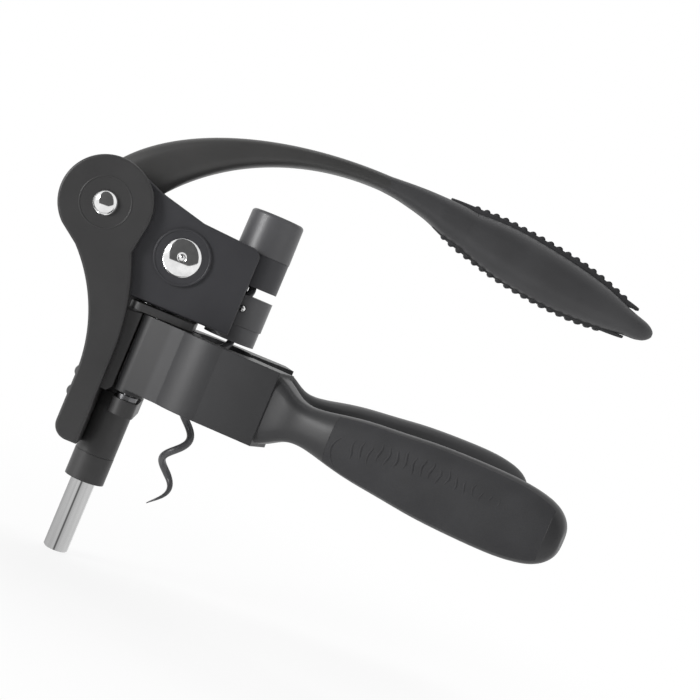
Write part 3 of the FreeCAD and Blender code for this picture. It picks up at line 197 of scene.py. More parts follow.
# ---------------------------------------------------------------- finishes
def enamel(name, colour, shade_bands=()):
    """Satin black enamel on a casting: orange peel, fine grit and soft rubbed edges.

    Each band of painted shade lists (from x, to x, share): the enamel's tint goes to that share
    between two places.
    """
    rough, peel = 0.42, 0.010
    material, tree = blank_material(name)
    shader = surface(tree)
    place = object_place(tree)
    clouds = noise(tree, place, per_metre=45.0, detail=4.0)
    peeled = noise(tree, place, per_metre=900.0, detail=2.0)
    grit = noise(tree, place, per_metre=5200.0, detail=2.0)
    tint = clouded(tree, clouds, colour, darker=0.12, lighter=0.12)
    # Painted shade: the tint is made darker and paler along X.
    for change in shade_bands:
        tint = painted_shade_along_x(tree, place, tint, *change)
    tree.links.new(tint, shader.inputs["Base Color"])
    tree.links.new(spread(tree, grit, rough - 0.05, rough + 0.06), shader.inputs["Roughness"])
    coarse = bumped(tree, peeled, peel, rounded_edge(tree, radius=0.45))
    tree.links.new(bumped(tree, grit, 0.5 * peel, coarse), shader.inputs["Normal"])
    shader.inputs["IOR"].default_value = 1.42
    return material


def polymer(name, colour, rough, grain=0.012):
    """Moulded polymer with a fine spark-eroded grain."""
    material, tree = blank_material(name)
    shader = surface(tree)
    place = object_place(tree)
    clouds = noise(tree, place, per_metre=70.0, detail=3.0)
    fine = noise(tree, place, per_metre=2600.0, detail=3.0, roughness=0.65)
    tint = clouded(tree, clouds, colour, darker=0.10, lighter=0.10)
    tree.links.new(tint, shader.inputs["Base Color"])
    tree.links.new(spread(tree, fine, rough - 0.06, rough + 0.06), shader.inputs["Roughness"])
    soft_edge = rounded_edge(tree, radius=0.35)
    tree.links.new(bumped(tree, fine, grain, soft_edge), shader.inputs["Normal"])
    shader.inputs["IOR"].default_value = 1.48
    return material


def rubber(name, colour, rough=0.72):
    """Soft rubber: cloudy tint, pores and a little unevenness."""
    material, tree = blank_material(name)
    shader = surface(tree)
    place = object_place(tree)
    clouds = noise(tree, place, per_metre=90.0, detail=4.0)
    pores = noise(tree, place, per_metre=3400.0, detail=3.0, roughness=0.7)
    tint = clouded(tree, clouds, colour, darker=0.15, lighter=0.15)
    tree.links.new(tint, shader.inputs["Base Color"])
    tree.links.new(spread(tree, pores, rough - 0.08, rough + 0.08), shader.inputs["Roughness"])
    tree.links.new(bumped(tree, pores, depth=0.02), shader.inputs["Normal"])
    shader.inputs["IOR"].default_value = 1.45
    return material


def steel(name, colour, rough, stretch=NO_STRETCH, streaks=700.0, depth=0.002, corner_x=None):
    """Bright steel whose streaks run along the axis that the stretch shortens.

    corner_x is where a six-sided bar has its front and back corners, where shade is painted in: a
    thin dark line, with the face on one side greyer.
    """
    material, tree = blank_material(name)
    shader = surface(tree)
    place = object_place(tree, stretch)
    lines = noise(tree, place, per_metre=streaks, detail=3.0, roughness=0.6)
    tint = clouded(tree, lines, colour, darker=0.10, lighter=0.08)
    if corner_x is not None:
        # Paints shade along the bar's corners into the tint.
        tint = painted_corner_shade(tree, tint, corner_x)
    tree.links.new(tint, shader.inputs["Base Color"])
    tree.links.new(spread(tree, lines, 0.7 * rough, 1.3 * rough), shader.inputs["Roughness"])
    soft_edge = rounded_edge(tree, radius=0.25)
    tree.links.new(bumped(tree, lines, depth, soft_edge), shader.inputs["Normal"])
    shader.inputs["Metallic"].default_value = 1.0
    return material


def painted_corner_shade(tree, tint, corner_x):
    """A tint with painted shade: a thin dark line along a bar's corners, and a greyer face on one
    side.
    """
    axes = add(tree, "ShaderNodeSeparateXYZ")
    tree.links.new(object_place(tree), axes.inputs["Vector"])
    across = add(tree, "ShaderNodeMapRange")
    set_range(across, (corner_x - CORNER_REACH) * MM, (corner_x + CORNER_REACH) * MM, 0.0, 1.0)
    join(tree, axes, "X", across, "Value")
    shade = add(tree, "ShaderNodeValToRGB")
    join(tree, across, "Result", shade, "Fac")
    stops = shade.color_ramp.elements
    for end, grey in zip(stops, CORNER_SIDE_SHADES):
        end.color = (grey, grey, grey, 1.0)
    for spot, grey in CORNER_SHADE_LINE:
        stops.new(spot).color = (grey, grey, grey, 1.0)
    product = add(tree, "ShaderNodeVectorMath", operation="MULTIPLY")
    tree.links.new(tint, product.inputs[0])
    join(tree, shade, "Color", product, 1)
    return product.outputs["Vector"]


ROD_X = -24.0
ALONG_ROD = (1.0, 1.0, 0.02)
# Painted shade across the rod, so far to each side of its corner: how much of the tint is left on
# the two sides, and along the dark line between them, by its share of the way across.
CORNER_REACH = 4.5
CORNER_SIDE_SHADES = (0.62, 1.0)
CORNER_SHADE_LINE = ((0.45, 0.80), (0.485, 0.16), (0.515, 0.16), (0.55, 0.72))
# Painted shade on the jaws' tint: darker on the hinge barrel, which faces away from the light,
# paler from there on, and darker again along the handle.
JAW_PAINTED_SHADE = ((-16.6, -14.6, 1.90), (-9.0, 20.0, 0.66))
finishes = {
    "frame_enamel": enamel("frame_enamel", (0.038, 0.0375, 0.038)),
    "carriage_enamel": enamel("carriage_enamel", (0.038, 0.038, 0.042)),
    "jaw_enamel": enamel("jaw_enamel", (0.021, 0.021, 0.022), shade_bands=JAW_PAINTED_SHADE),
    "lever_enamel": enamel("lever_enamel", (0.043, 0.0425, 0.042)),
    "lever_shell": polymer("lever_shell", (0.040, 0.040, 0.042), 0.50),
    "soft_grip": rubber("soft_grip", (0.026, 0.026, 0.028)),
    "soft_pad": rubber("soft_pad", (0.036, 0.036, 0.038), 0.6),
    "cap_polymer": polymer("cap_polymer", (0.076, 0.076, 0.080), 0.38),
    "slick_polymer": polymer("slick_polymer", (0.30, 0.30, 0.30), 0.35, 0.006),
    "polished_steel": steel("polished_steel", (0.82, 0.82, 0.82), 0.07,
                            streaks=350.0, depth=0.0008),
    "plain_steel": steel("plain_steel", (0.16, 0.16, 0.165), 0.30),
    # The rod's dark corner line and its greyer face are painted shade.
    "rod_steel": steel("rod_steel", (0.62, 0.62, 0.62), 0.17, ALONG_ROD, corner_x=ROD_X),
    "dark_steel": polymer("dark_steel", (0.035, 0.035, 0.036), 0.35, 0.006),
    "coil_coating": polymer("coil_coating", (0.070, 0.070, 0.074), 0.34, 0.004),
    "bearing_bronze": steel("bearing_bronze", (0.56, 0.40, 0.22), 0.28),
}

slot_of = {part["node"]: part["material_slot"] for part in frame["record"]["subparts"]}
for node_name, node in nodes.items():
    node.data.materials.clear()
    node.data.materials.append(finishes[slot_of[node_name]])


# ---------------------------------------------------------------- making pieces
HEAD_SEGMENTS = 72
DOME_STEPS = 12


def piece(name, mesh, finish, body, *stands_for):
    """Link a finished mesh that rides on a body, in place of the nodes that it stands for."""
    mesh.materials.clear()
    mesh.materials.append(finishes[finish])
    part = bpy.data.objects.new(name, mesh)
    scene.collection.objects.link(part)
    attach(part, body)
    if stands_for:
        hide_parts(*stands_for)


def meshed(name, shape, smooth=True):
    """Turn a built shape into a mesh whose faces point outwards."""
    bmesh.ops.recalc_face_normals(shape, faces=shape.faces)
    mesh = bpy.data.meshes.new(name)
    shape.to_mesh(mesh)
    shape.free()
    for polygon in mesh.polygons:
        polygon.use_smooth = smooth
    return mesh


def through(points, x):
    """A smooth line through chosen points that never swings past them."""
    places = [point[0] for point in points]
    heights = [point[1] for point in points]
    slopes = [(b - a) / (d - c) for a, b, c, d in zip(heights, heights[1:], places, places[1:])]
    tangents = [slopes[0]]
    for left, right in zip(slopes, slopes[1:]):
        tangents.append(0.0 if left * right <= 0 else 2 * left * right / (left + right))
    tangents.append(slopes[-1])
    index = max(0, min(len(places) - 2, sum(1 for place_x in places if place_x <= x) - 1))
    step = places[index + 1] - places[index]
    share = (x - places[index]) / step
    rise = heights[index + 1] - heights[index]
    first = tangents[index] * step
    last = tangents[index + 1] * step
    bend = share * (first + share * (3 * rise - 2 * first - last))
    return heights[index] + bend + share ** 3 * (first + last - 2 * rise)


def ease(share):
    """A share from 0 to 1 that starts and stops gently."""
    share = min(max(share, 0.0), 1.0)
    return share * share * (3.0 - 2.0 * share)


def bridge(shape, near, far):
    """Join two closed rows of as many corners with a band of faces."""
    for k in range(len(near)):
        after = (k + 1) % len(near)
        shape.faces.new((near[k], near[after], far[after], far[k]))


def fan(shape, row, tip):
    """Close a row of corners with a fan of faces to its tip."""
    for k in range(len(row)):
        shape.faces.new((row[k], row[(k + 1) % len(row)], tip))


def capped(shape, rows):
    """Skin closed rows one after another and close both ends."""
    for near, far in zip(rows, rows[1:]):
        bridge(shape, near, far)
    shape.faces.new(rows[0])
    shape.faces.new(tuple(reversed(rows[-1])))


def front_circle(shape, place, face, radius, high, segments):
    """A circle of corners so high over a face that looks to the front."""
    row = []
    for k in range(segments):
        angle = math.tau * k / segments
        x, z = place[0] + radius * math.cos(angle), place[1] + radius * math.sin(angle)
        row.append(shape.verts.new((x * MM, (face - high) * MM, z * MM)))
    return row


def turned_head(name, place, face, profile):
    """A round head on an axis square to the front: profile gives radius and height, rim first."""
    shape = bmesh.new()
    loops = [front_circle(shape, place, face, *row, HEAD_SEGMENTS) for row in profile[:-1]]
    for outer, inner in zip(loops, loops[1:]):
        bridge(shape, outer, inner)
    crown = shape.verts.new((place[0] * MM, (face - profile[-1][1]) * MM, place[1] * MM))
    foot = shape.verts.new((place[0] * MM, (face - profile[0][1]) * MM, place[1] * MM))
    fan(shape, loops[-1], crown)
    fan(shape, loops[0], foot)
    return meshed(name, shape)


def domed(radius, high, stop, fullness):
    """Profile of a rounded head from its rim in to a radius.

    Fullness 0 is a shallow slice of a ball, and fullness 1 falls steeply to the rim.
    """
    ball = (radius ** 2 + high ** 2) / (2 * high)
    rows = []
    for step in range(DOME_STEPS + 1):
        r = radius + (stop - radius) * math.sin(math.pi / 2 * step / DOME_STEPS)
        shallow = math.sqrt(ball ** 2 - r ** 2) - (ball - high)
        full = high * math.sqrt(max(0.0, 1 - (r / radius) ** 2))
        rows.append((r, shallow + (full - shallow) * fullness))
    return rows


# ---------------------------------------------------------------- node trees for what repeats
TOOTH_SEGMENTS = 14
RIB_SEGMENTS = 8
ACROSS_RIM = (math.pi / 2, 0.0, 0.0)


def maker_tree(name, sizes):
    """An empty tree with a geometry input, named sizes and a geometry output."""
    tree = bpy.data.node_groups.new(name, "GeometryNodeTree")
    tree.interface.new_socket("Geometry", in_out="INPUT", socket_type="NodeSocketGeometry")
    for size in sizes:
        tree.interface.new_socket(size, in_out="INPUT", socket_type="NodeSocketFloat")
    tree.interface.new_socket("Geometry", in_out="OUTPUT", socket_type="NodeSocketGeometry")
    return tree, add(tree, "NodeGroupInput"), add(tree, "NodeGroupOutput")


def finish_tree(tree, source, out, exit_node, finish):
    """End a tree in realized, smooth geometry with its material."""
    real = add(tree, "GeometryNodeRealizeInstances")
    join(tree, source, out, real, "Geometry")
    smooth = add(tree, "GeometryNodeSetShadeSmooth")
    join(tree, real, "Geometry", smooth, "Geometry")
    dressed = add(tree, "GeometryNodeSetMaterial")
    dressed.inputs["Material"].default_value = finishes[finish]
    join(tree, smooth, "Geometry", dressed, "Geometry")
    join(tree, dressed, "Geometry", exit_node, "Geometry")


def named(tree, attribute, kind):
    """Reads an attribute that the base mesh carries."""
    node = add(tree, "GeometryNodeInputNamedAttribute", data_type=kind)
    node.inputs["Name"].default_value = attribute
    return node


def toothed_rim_tree(finish):
    """Sets a round tooth at every pitch along the marked line, and keeps the band under it."""
    sizes = ("Tooth pitch", "Tooth radius", "Tooth width")
    tree, entry, exit_node = maker_tree("toothed_rim", sizes)
    marked = named(tree, "tooth_line", "BOOLEAN")
    parted = add(tree, "GeometryNodeSeparateGeometry", domain="POINT")
    join(tree, entry, "Geometry", parted, "Geometry")
    join(tree, marked, "Attribute", parted, "Selection")
    line = add(tree, "GeometryNodeMeshToCurve")
    join(tree, parted, "Selection", line, "Mesh")
    spaced = add(tree, "GeometryNodeResampleCurve", mode="LENGTH")
    join(tree, line, "Curve", spaced, "Curve")
    join(tree, entry, "Tooth pitch", spaced, "Length")
    tooth = add(tree, "GeometryNodeMeshCylinder", fill_type="NGON")
    tooth.inputs["Vertices"].default_value = TOOTH_SEGMENTS
    join(tree, entry, "Tooth radius", tooth, "Radius")
    join(tree, entry, "Tooth width", tooth, "Depth")
    laid = add(tree, "GeometryNodeInstanceOnPoints")
    laid.inputs["Rotation"].default_value = ACROSS_RIM
    join(tree, spaced, "Curve", laid, "Points")
    join(tree, tooth, "Mesh", laid, "Instance")
    both = add(tree, "GeometryNodeJoinGeometry")
    join(tree, laid, "Instances", both, "Geometry")
    join(tree, parted, "Inverted", both, "Geometry")
    finish_tree(tree, both, "Geometry", exit_node, finish)
    return tree


def raised_rib_tree(finish):
    """Lays a round rib along every marked line, thin at its ends."""
    tree, entry, exit_node = maker_tree("raised_ribs", ("Rib radius",))
    line = add(tree, "GeometryNodeMeshToCurve")
    join(tree, entry, "Geometry", line, "Mesh")
    swell = named(tree, "swell", "FLOAT")
    section = add(tree, "GeometryNodeCurvePrimitiveCircle", mode="RADIUS")
    section.inputs["Resolution"].default_value = RIB_SEGMENTS
    join(tree, entry, "Rib radius", section, "Radius")
    solid = add(tree, "GeometryNodeCurveToMesh")
    solid.inputs["Fill Caps"].default_value = True
    join(tree, line, "Curve", solid, "Curve")
    join(tree, section, "Curve", solid, "Profile Curve")
    join(tree, swell, "Attribute", solid, "Scale")
    finish_tree(tree, solid, "Mesh", exit_node, finish)
    return tree


def grown(name, base, tree, sizes):
    """Run a tree on a base mesh and keep what it makes as a plain mesh."""
    maker = bpy.data.objects.new(name, base)
    scene.collection.objects.link(maker)
    modifier = maker.modifiers.new("maker", "NODES")
    modifier.node_group = tree
    for item in tree.interface.items_tree:
        if item.item_type == "SOCKET" and item.in_out == "INPUT" and item.name in sizes:
            modifier[item.identifier] = sizes[item.name]
    made = maker.evaluated_get(bpy.context.evaluated_depsgraph_get())
    mesh = bpy.data.meshes.new_from_object(made)
    mesh.name = name
    maker.modifiers.remove(modifier)
    bpy.data.objects.remove(maker)
    return mesh


# ---------------------------------------------------------------- the lever grip's rubber rim
RIM_HALF = 1.9
RIM_SOFT = 0.45          # chamfer of the band's outer edges
TOOTH_PITCH = 3.3
TOOTH_RADIUS = 1.15
TOOTH_PROUD = 0.75       # how far a tooth stands over the band
TOOTH_INSET = 0.15       # how far a tooth's ends stay inside the band's sides
TAIL_LOW = 0.2           # how far a free tail stays under the rim's outermost line
# Each run of the rim: its outermost line, the side that faces out, where its two free tails are
# let into the grip, where the teeth start and stop, and how thick the tail and the middle are.
RIM_RUNS = (
    {"line": ((51.9, 98.1), (60.0, 98.7), (69.0, 99.0), (80.0, 98.4), (91.3, 97.2),
              (101.0, 95.7), (110.0, 93.4), (118.0, 90.7), (123.6, 88.8)),
     "out": 1.0, "let_in": (66.0, 116.0), "teeth": (61.0, 117.5)},
    {"line": ((49.5, 86.5), (57.0, 83.2), (65.0, 80.9), (74.0, 78.6), (85.2, 76.8),
              (95.0, 75.9), (104.0, 75.6), (113.0, 76.2), (122.2, 77.1)),
     "out": -1.0, "let_in": (59.0, 110.0), "teeth": (54.5, 113.0)},
)
RIM_STATIONS = 60
TAIL_THICK = 0.9
BAND_THICK = 3.2


def rim_base():
    """The band of the rim with its free tails, and the line that its teeth follow."""
    shape = bmesh.new()
    on_line = shape.verts.layers.bool.new("tooth_line")
    for run in RIM_RUNS:
        line, out = run["line"], run["out"]
        start, stop = line[0][0], line[-1][0]
        from_x, to_x = run["let_in"]
        rows = []
        for station in range(RIM_STATIONS + 1):
            x = start + (stop - start) * station / RIM_STATIONS
            inside = min(ease((x - start) / (from_x - start)), ease((stop - x) / (stop - to_x)))
            tip = through(line, x)
            outer = tip - out * (TAIL_LOW + (TOOTH_PROUD - TAIL_LOW) * inside)
            inner = outer - out * (TAIL_THICK + (BAND_THICK - TAIL_THICK) * inside)
            corner = outer - out * RIM_SOFT
            flat = RIM_HALF - RIM_SOFT
            ring = ((-RIM_HALF, inner), (-RIM_HALF, corner), (-flat, outer),
                    (flat, outer), (RIM_HALF, corner), (RIM_HALF, inner))
            rows.append([shape.verts.new((x * MM, y * MM, z * MM)) for y, z in ring])
        capped(shape, rows)
        first, last = run["teeth"]
        before = None
        for station in range(RIM_STATIONS + 1):
            x = first + (last - first) * station / RIM_STATIONS
            spot = shape.verts.new((x * MM, 0.0, (through(line, x) - out * TOOTH_RADIUS) * MM))
            spot[on_line] = True
            if before is not None:
                shape.edges.new((before, spot))
            before = spot
    return meshed("rim_base", shape)


rim = grown("lever_grip_rim_toothed", rim_base(), toothed_rim_tree("soft_grip"), {
    "Tooth pitch": TOOTH_PITCH * MM,
    "Tooth radius": TOOTH_RADIUS * MM,
    "Tooth width": 2 * (RIM_HALF - TOOTH_INSET) * MM,
})
piece("lever_grip_rim_toothed", rim, "soft_grip", "lever", "lever_grip_rim")


# ---------------------------------------------------------------- sleeve between arm and grip
# Along the sleeve by x: the heights of its top and underside, its half width, its squareness.
SLEEVE_TOP = ((28.0, 96.20), (34.0, 96.65), (40.0, 97.05),
              (46.0, 97.25), (54.0, 97.20), (62.0, 96.60))
SLEEVE_LOW = ((28.0, 91.10), (34.0, 90.55), (40.0, 89.45),
              (46.0, 88.00), (54.0, 85.20), (62.0, 83.40))
SLEEVE_SIDE = ((28.0, 5.85), (34.0, 6.10), (40.0, 6.20),
               (46.0, 6.45), (54.0, 6.95), (62.0, 6.85))
SLEEVE_POWER = ((28.0, 3.4), (62.0, 2.6))
SLEEVE_STATIONS = 36
SLEEVE_SPOKES = 48


def squared_round(angle, power):
    """Sideways and upward shares of a superellipse: power 2 is round, and more is squarer."""
    across = math.copysign(abs(math.cos(angle)) ** (2 / power), math.cos(angle))
    rise = math.copysign(abs(math.sin(angle)) ** (2 / power), math.sin(angle))
    return across, rise


def sleeve():
    """A smooth skin over the place where the arm runs into the grip's shells."""
    start, stop = SLEEVE_TOP[0][0], SLEEVE_TOP[-1][0]
    shape = bmesh.new()
    rows = []
    for station in range(SLEEVE_STATIONS + 1):
        x = start + (stop - start) * station / SLEEVE_STATIONS
        top, low = through(SLEEVE_TOP, x), through(SLEEVE_LOW, x)
        side, power = through(SLEEVE_SIDE, x), through(SLEEVE_POWER, x)
        row = []
        for k in range(SLEEVE_SPOKES):
            across, rise = squared_round(math.tau * k / SLEEVE_SPOKES, power)
            height = (top + low) / 2 + rise * (top - low) / 2
            row.append(shape.verts.new((x * MM, across * side * MM, height * MM)))
        rows.append(row)
    capped(shape, rows)
    return meshed("lever_grip_sleeve", shape)


piece("lever_grip_sleeve", sleeve(), "lever_shell", "lever")


# ---------------------------------------------------------------- raised ribs on the jaw handles
HINGE_X = -20.7
HINGE_Y = 11.5
CLEAR_OF_HANDLE = 60.0           # where the rays that find the handle's surface start
RIB_COUNT = 23
RIB_FIRST, RIB_LAST = 56.0, 117.0
RIB_RADIUS = 0.66
RIB_SINK = 0.42
# The lower and the upper ends of the ribs, by x on the handle as it lies when it is closed.
RIB_BAND_LOW = ((52.0, 7.7), (75.0, 12.6), (96.0, 13.2), (117.0, 12.0))
RIB_BAND_HIGH = ((52.0, 14.2), (75.0, 18.4), (96.0, 18.0), (117.0, 16.2))
RIB_FADE_FROM = 78.0             # from here on the ribs get thinner,
RIB_FADE = 0.30                  # and the last one has lost this share
RIB_ENDS = 0.70                  # a rib's thickness at its ends, as a share of its middle's
RIB_STAGGER = 0.10               # how far a rib is shifted along itself, as a share of its length
RIB_STAGGER_TURN = 2.4           # radians of that shift's wave from one rib to the next
RIB_SWAY = 0.35                  # how far a rib waves to either side
RIB_POINTS = 9
ARC_MIDDLE = (49.6, 10.0)        # the arc that opens the row of ribs
ARC_DEPTH = 2.6
ARC_HALF = 4.8
ARC_POINTS = 13
# Each handle: its name, its side, the degrees that it is turned by at rest, and its body.
HANDLES = (("front", -1, -21.0, "front_jaw"), ("back", 1, 12.0, "back_jaw"))


def handle_ribs(word, side, turned):
    """Lines of the ribs on a handle's outer face, dropped on to its surface."""
    corners, faces = [], []
    for label in (f"{word}_jaw", f"{word}_grip_inset"):
        mesh = nodes[label].data
        start = len(corners)
        corners += [vertex.co.copy() for vertex in mesh.vertices]
        faces += [[start + index for index in polygon.vertices] for polygon in mesh.polygons]
    skin = BVHTree.FromPolygons(corners, faces)
    hinge = Vector((HINGE_X, side * HINGE_Y, 0.0)) * MM
    about_up = Matrix.Rotation(math.radians(turned), 4, "Z")
    turn = Matrix.Translation(hinge) @ about_up @ Matrix.Translation(-hinge)
    inwards = turn.to_3x3() @ Vector((0.0, -side, 0.0))
    shape = bmesh.new()
    swell = shape.verts.layers.float.new("swell")

    def lay(spots):
        """Drop one line of places on to the handle, thin at its ends."""
        before = None
        for number, (x, z) in enumerate(spots):
            start = turn @ (Vector((x, side * CLEAR_OF_HANDLE, z)) * MM)
            hit = skin.ray_cast(start, inwards)[0]
            vertex = shape.verts.new(hit + inwards * RIB_SINK * MM)
            thick = RIB_ENDS + (1.0 - RIB_ENDS) * math.sin(math.pi * number / (len(spots) - 1))
            faded = ease((x - RIB_FADE_FROM) / (RIB_LAST - RIB_FADE_FROM))
            vertex[swell] = thick * (1.0 - RIB_FADE * faded)
            if before is not None:
                shape.edges.new((before, vertex))
            before = vertex

    for number in range(RIB_COUNT):
        x = RIB_FIRST + (RIB_LAST - RIB_FIRST) * number / (RIB_COUNT - 1)
        low, high = through(RIB_BAND_LOW, x), through(RIB_BAND_HIGH, x)
        stagger = RIB_STAGGER * (high - low) * math.sin(RIB_STAGGER_TURN * number)
        spots = []
        for point in range(RIB_POINTS):
            share = point / (RIB_POINTS - 1)
            sway = RIB_SWAY * math.sin(math.tau * share + number)
            spots.append((x + sway, low + stagger + (high - low) * share))
        lay(spots)
    arc = []
    for point in range(ARC_POINTS):
        share = 2 * point / (ARC_POINTS - 1) - 1
        arc.append((ARC_MIDDLE[0] + ARC_DEPTH * share ** 2, ARC_MIDDLE[1] + ARC_HALF * share))
    lay(arc)
    base = bpy.data.meshes.new("rib_lines")
    shape.to_mesh(base)
    shape.free()
    return base


rib_tree = raised_rib_tree("soft_grip")
for word, side, turned, body in HANDLES:
    ribs = grown(f"{word}_handle_ribs", handle_ribs(word, side, turned), rib_tree,
                 {"Rib radius": RIB_RADIUS * MM})
    piece(f"{word}_handle_ribs", ribs, "soft_grip", body)


# ---------------------------------------------------------------- heads, rings and webs
PIVOT = (-49.8, 52.3)
CLAMP = (-21.3, 45.5)
CHEEK_FACE = -17.5
BOSS_FACE = -14.7
HEAD_SUNK = 1.5                  # how far a head's neck goes into its face
PIVOT_NECK, PIVOT_RADIUS, PIVOT_HIGH, PIVOT_FULLNESS = 2.45, 4.1, 2.2, 1.0
CLAMP_NECK, CLAMP_RADIUS, CLAMP_HIGH, CLAMP_FULLNESS = 3.0, 6.35, 1.7, 0.35
# The clamp head's small dimple with a low boss in it, as radius and height.
DIMPLE_RADIUS = 1.7
DIMPLE = ((1.55, 1.62), (1.35, 1.30), (1.05, 1.18), (0.85, 1.30), (0.60, 1.55), (0.30, 1.66))

pivot_rows = [(PIVOT_NECK, -HEAD_SUNK), (PIVOT_NECK, 0.0), (PIVOT_RADIUS, 0.0)]
pivot_rows += domed(PIVOT_RADIUS, PIVOT_HIGH, 0.0, PIVOT_FULLNESS)
piece("pivot_pin_head", turned_head("pivot_pin_head", PIVOT, CHEEK_FACE, pivot_rows),
      "polished_steel", "frame", "pivot_pin")
clamp_rows = [(CLAMP_NECK, -HEAD_SUNK), (CLAMP_NECK, 0.0), (CLAMP_RADIUS, 0.0)]
clamp_rows += domed(CLAMP_RADIUS, CLAMP_HIGH, DIMPLE_RADIUS, CLAMP_FULLNESS)
clamp_rows += [*DIMPLE, (0.0, CLAMP_HIGH)]
piece("clamp_bolt_head", turned_head("clamp_bolt_head", CLAMP, BOSS_FACE, clamp_rows),
      "polished_steel", "carriage", "clamp_bolt")


RING_SEGMENTS = 96
RING_SUNK = 0.3
RING_SOFT = 0.12                 # width of the chamfer at a ring's two edges
RING_WALL = 0.6                  # height at which the chamfer starts, as a share of the ring's
# Each ring: its name, its centre, its face, its two radii, its height, its finish and its body.
RINGS = (
    ("pivot_ring", PIVOT, CHEEK_FACE, 7.9, 8.5, 0.05, "frame_enamel", "frame"),
    ("clamp_ring", CLAMP, BOSS_FACE, 8.5, 9.2, 0.14, "carriage_enamel", "carriage"),
)


def flat_ring(name, place, face, inner, outer, high):
    """A low raised ring with soft edges, sunk a little into the face that it stands on."""
    shape = bmesh.new()
    wall = RING_WALL * high
    rows = ((inner, -RING_SUNK), (inner, wall), (inner + RING_SOFT, high),
            (outer - RING_SOFT, high), (outer, wall), (outer, -RING_SUNK))
    loops = [front_circle(shape, place, face, *row, RING_SEGMENTS) for row in rows]
    for near, far in zip(loops, loops[1:] + loops[:1]):
        bridge(shape, near, far)
    return meshed(name, shape)


for name, *form, finish, body in RINGS:
    piece(name, flat_ring(name, *form), finish, body)


WEB_OUTLINE = ((-34.0, 23.6), (-26.1, 24.3), (-26.1, -0.9), (-27.6, -2.6), (-31.0, -2.6))
WEB_FACES = (14.0, 12.2)         # a web's outer and inner face, from the middle plane


def frame_web(side):
    """The thin web that closes the slot between a cheek of the frame and the jaw's barrel."""
    shape = bmesh.new()
    rows = []
    for y in WEB_FACES:
        rows.append([shape.verts.new((x * MM, side * y * MM, z * MM)) for x, z in WEB_OUTLINE])
    capped(shape, rows)
    return meshed("frame_web", shape, smooth=False)


for word, side in (("front", -1), ("back", 1)):
    piece(f"frame_{word}_web", frame_web(side), "frame_enamel", "frame")


# ---------------------------------------------------------------- floor, light and camera
WHITE = (1.0, 1.0, 1.0, 1.0)
MIDDLE = Vector((0.04025, 0.0, 0.03874))     # what the camera and the lamps are aimed at
VIEW_TURN, VIEW_ROLL, VIEW_DOWN = 4.0, 22.8, 1.2
CAMERA_DISTANCE = 0.480
LENS, SENSOR = 74.8, 36.0
NEAREST, FARTHEST = 0.02, 20.0

FLOOR_RADIUS, FLOOR_RINGS, FLOOR_SPOKES = 0.42, 24, 72
FLOOR_DROP = 0.0002                          # how far the floor lies under the rod's foot
FLOOR_PAINT = (0.86, 0.86, 0.86, 1.0)
FLOOR_SHADE = 0.15                           # how much of the shadows shows at the middle,
SHADE_WHOLE_TO, SHADE_GONE_AT = 0.07, 0.30   # and the radii between which it fades to none

SKY_FILL = 0.40
# The dark stand in slopes from the view's axis: sideways, and from its foot up.
STAND_LEFT, STAND_RIGHT, STAND_FOOT, STAND_TOP = -0.65, 1.2, -0.45, 6.0
STAND_LEVEL = 0.11
LEAST_FACING = 0.001                         # keeps the slopes finite at right angles to the view

# Each lamp: its name, how far ahead, up and right of the middle it stands along the view's axes,
# its width and its power, and whether bright metal mirrors it.
LAMPS = (
    ("key_lamp", (-0.55, 0.40, -0.62), 0.35, 5.6, True),
    ("fill_lamp", (-0.55, -0.35, 0.45), 0.70, 2.4, False),
    ("rim_lamp", (0.35, 0.75, 0.25), 0.60, 5.0, False),
)


def floor_mesh(level):
    """A round flat mesh of rings and spokes."""
    shape = bmesh.new()
    loops = []
    for ring in range(1, FLOOR_RINGS + 1):
        r = FLOOR_RADIUS * ring / FLOOR_RINGS
        angles = [math.tau * k / FLOOR_SPOKES for k in range(FLOOR_SPOKES)]
        loops.append([shape.verts.new((r * math.cos(a), r * math.sin(a), level)) for a in angles])
    fan(shape, loops[0], shape.verts.new((0.0, 0.0, level)))
    for inner, outer in zip(loops, loops[1:]):
        bridge(shape, outer, inner)
    mesh = bpy.data.meshes.new("floor")
    shape.to_mesh(mesh)
    shape.free()
    return mesh


def floor_finish():
    """White paint whose shadows show round the middle and fade into plain white further out."""
    material, tree = blank_material("floor_white")
    tree.nodes.remove(surface(tree))
    paint = add(tree, "ShaderNodeBsdfDiffuse")
    paint.inputs["Color"].default_value = FLOOR_PAINT
    glow = add(tree, "ShaderNodeEmission")
    coords = add(tree, "ShaderNodeTexCoord")
    length = add(tree, "ShaderNodeVectorMath", operation="LENGTH")
    join(tree, coords, "Object", length, 0)
    fade = add(tree, "ShaderNodeMapRange", interpolation_type="SMOOTHSTEP")
    set_range(fade, SHADE_WHOLE_TO, SHADE_GONE_AT, FLOOR_SHADE, 0.0)
    join(tree, length, "Value", fade, "Value")
    path = add(tree, "ShaderNodeLightPath").outputs
    seen = maths(tree, "ADD", path["Is Camera Ray"], path["Is Glossy Ray"], use_clamp=True)
    painted = blended(tree, seen, 1.0, fade.outputs["Result"])
    blend = add(tree, "ShaderNodeMixShader")
    tree.links.new(painted, blend.inputs[0])
    join(tree, glow, "Emission", blend, 1)
    join(tree, paint, "BSDF", blend, 2)
    join(tree, blend, "Shader", tree.nodes["Material Output"], "Surface")
    return material


def white_floor(level):
    """A pale round floor just under the rod's foot, whiter towards its rim."""
    mesh = floor_mesh(level)
    mesh.materials.append(floor_finish())
    floor = bpy.data.objects.new("floor", mesh)
    scene.collection.objects.link(floor)


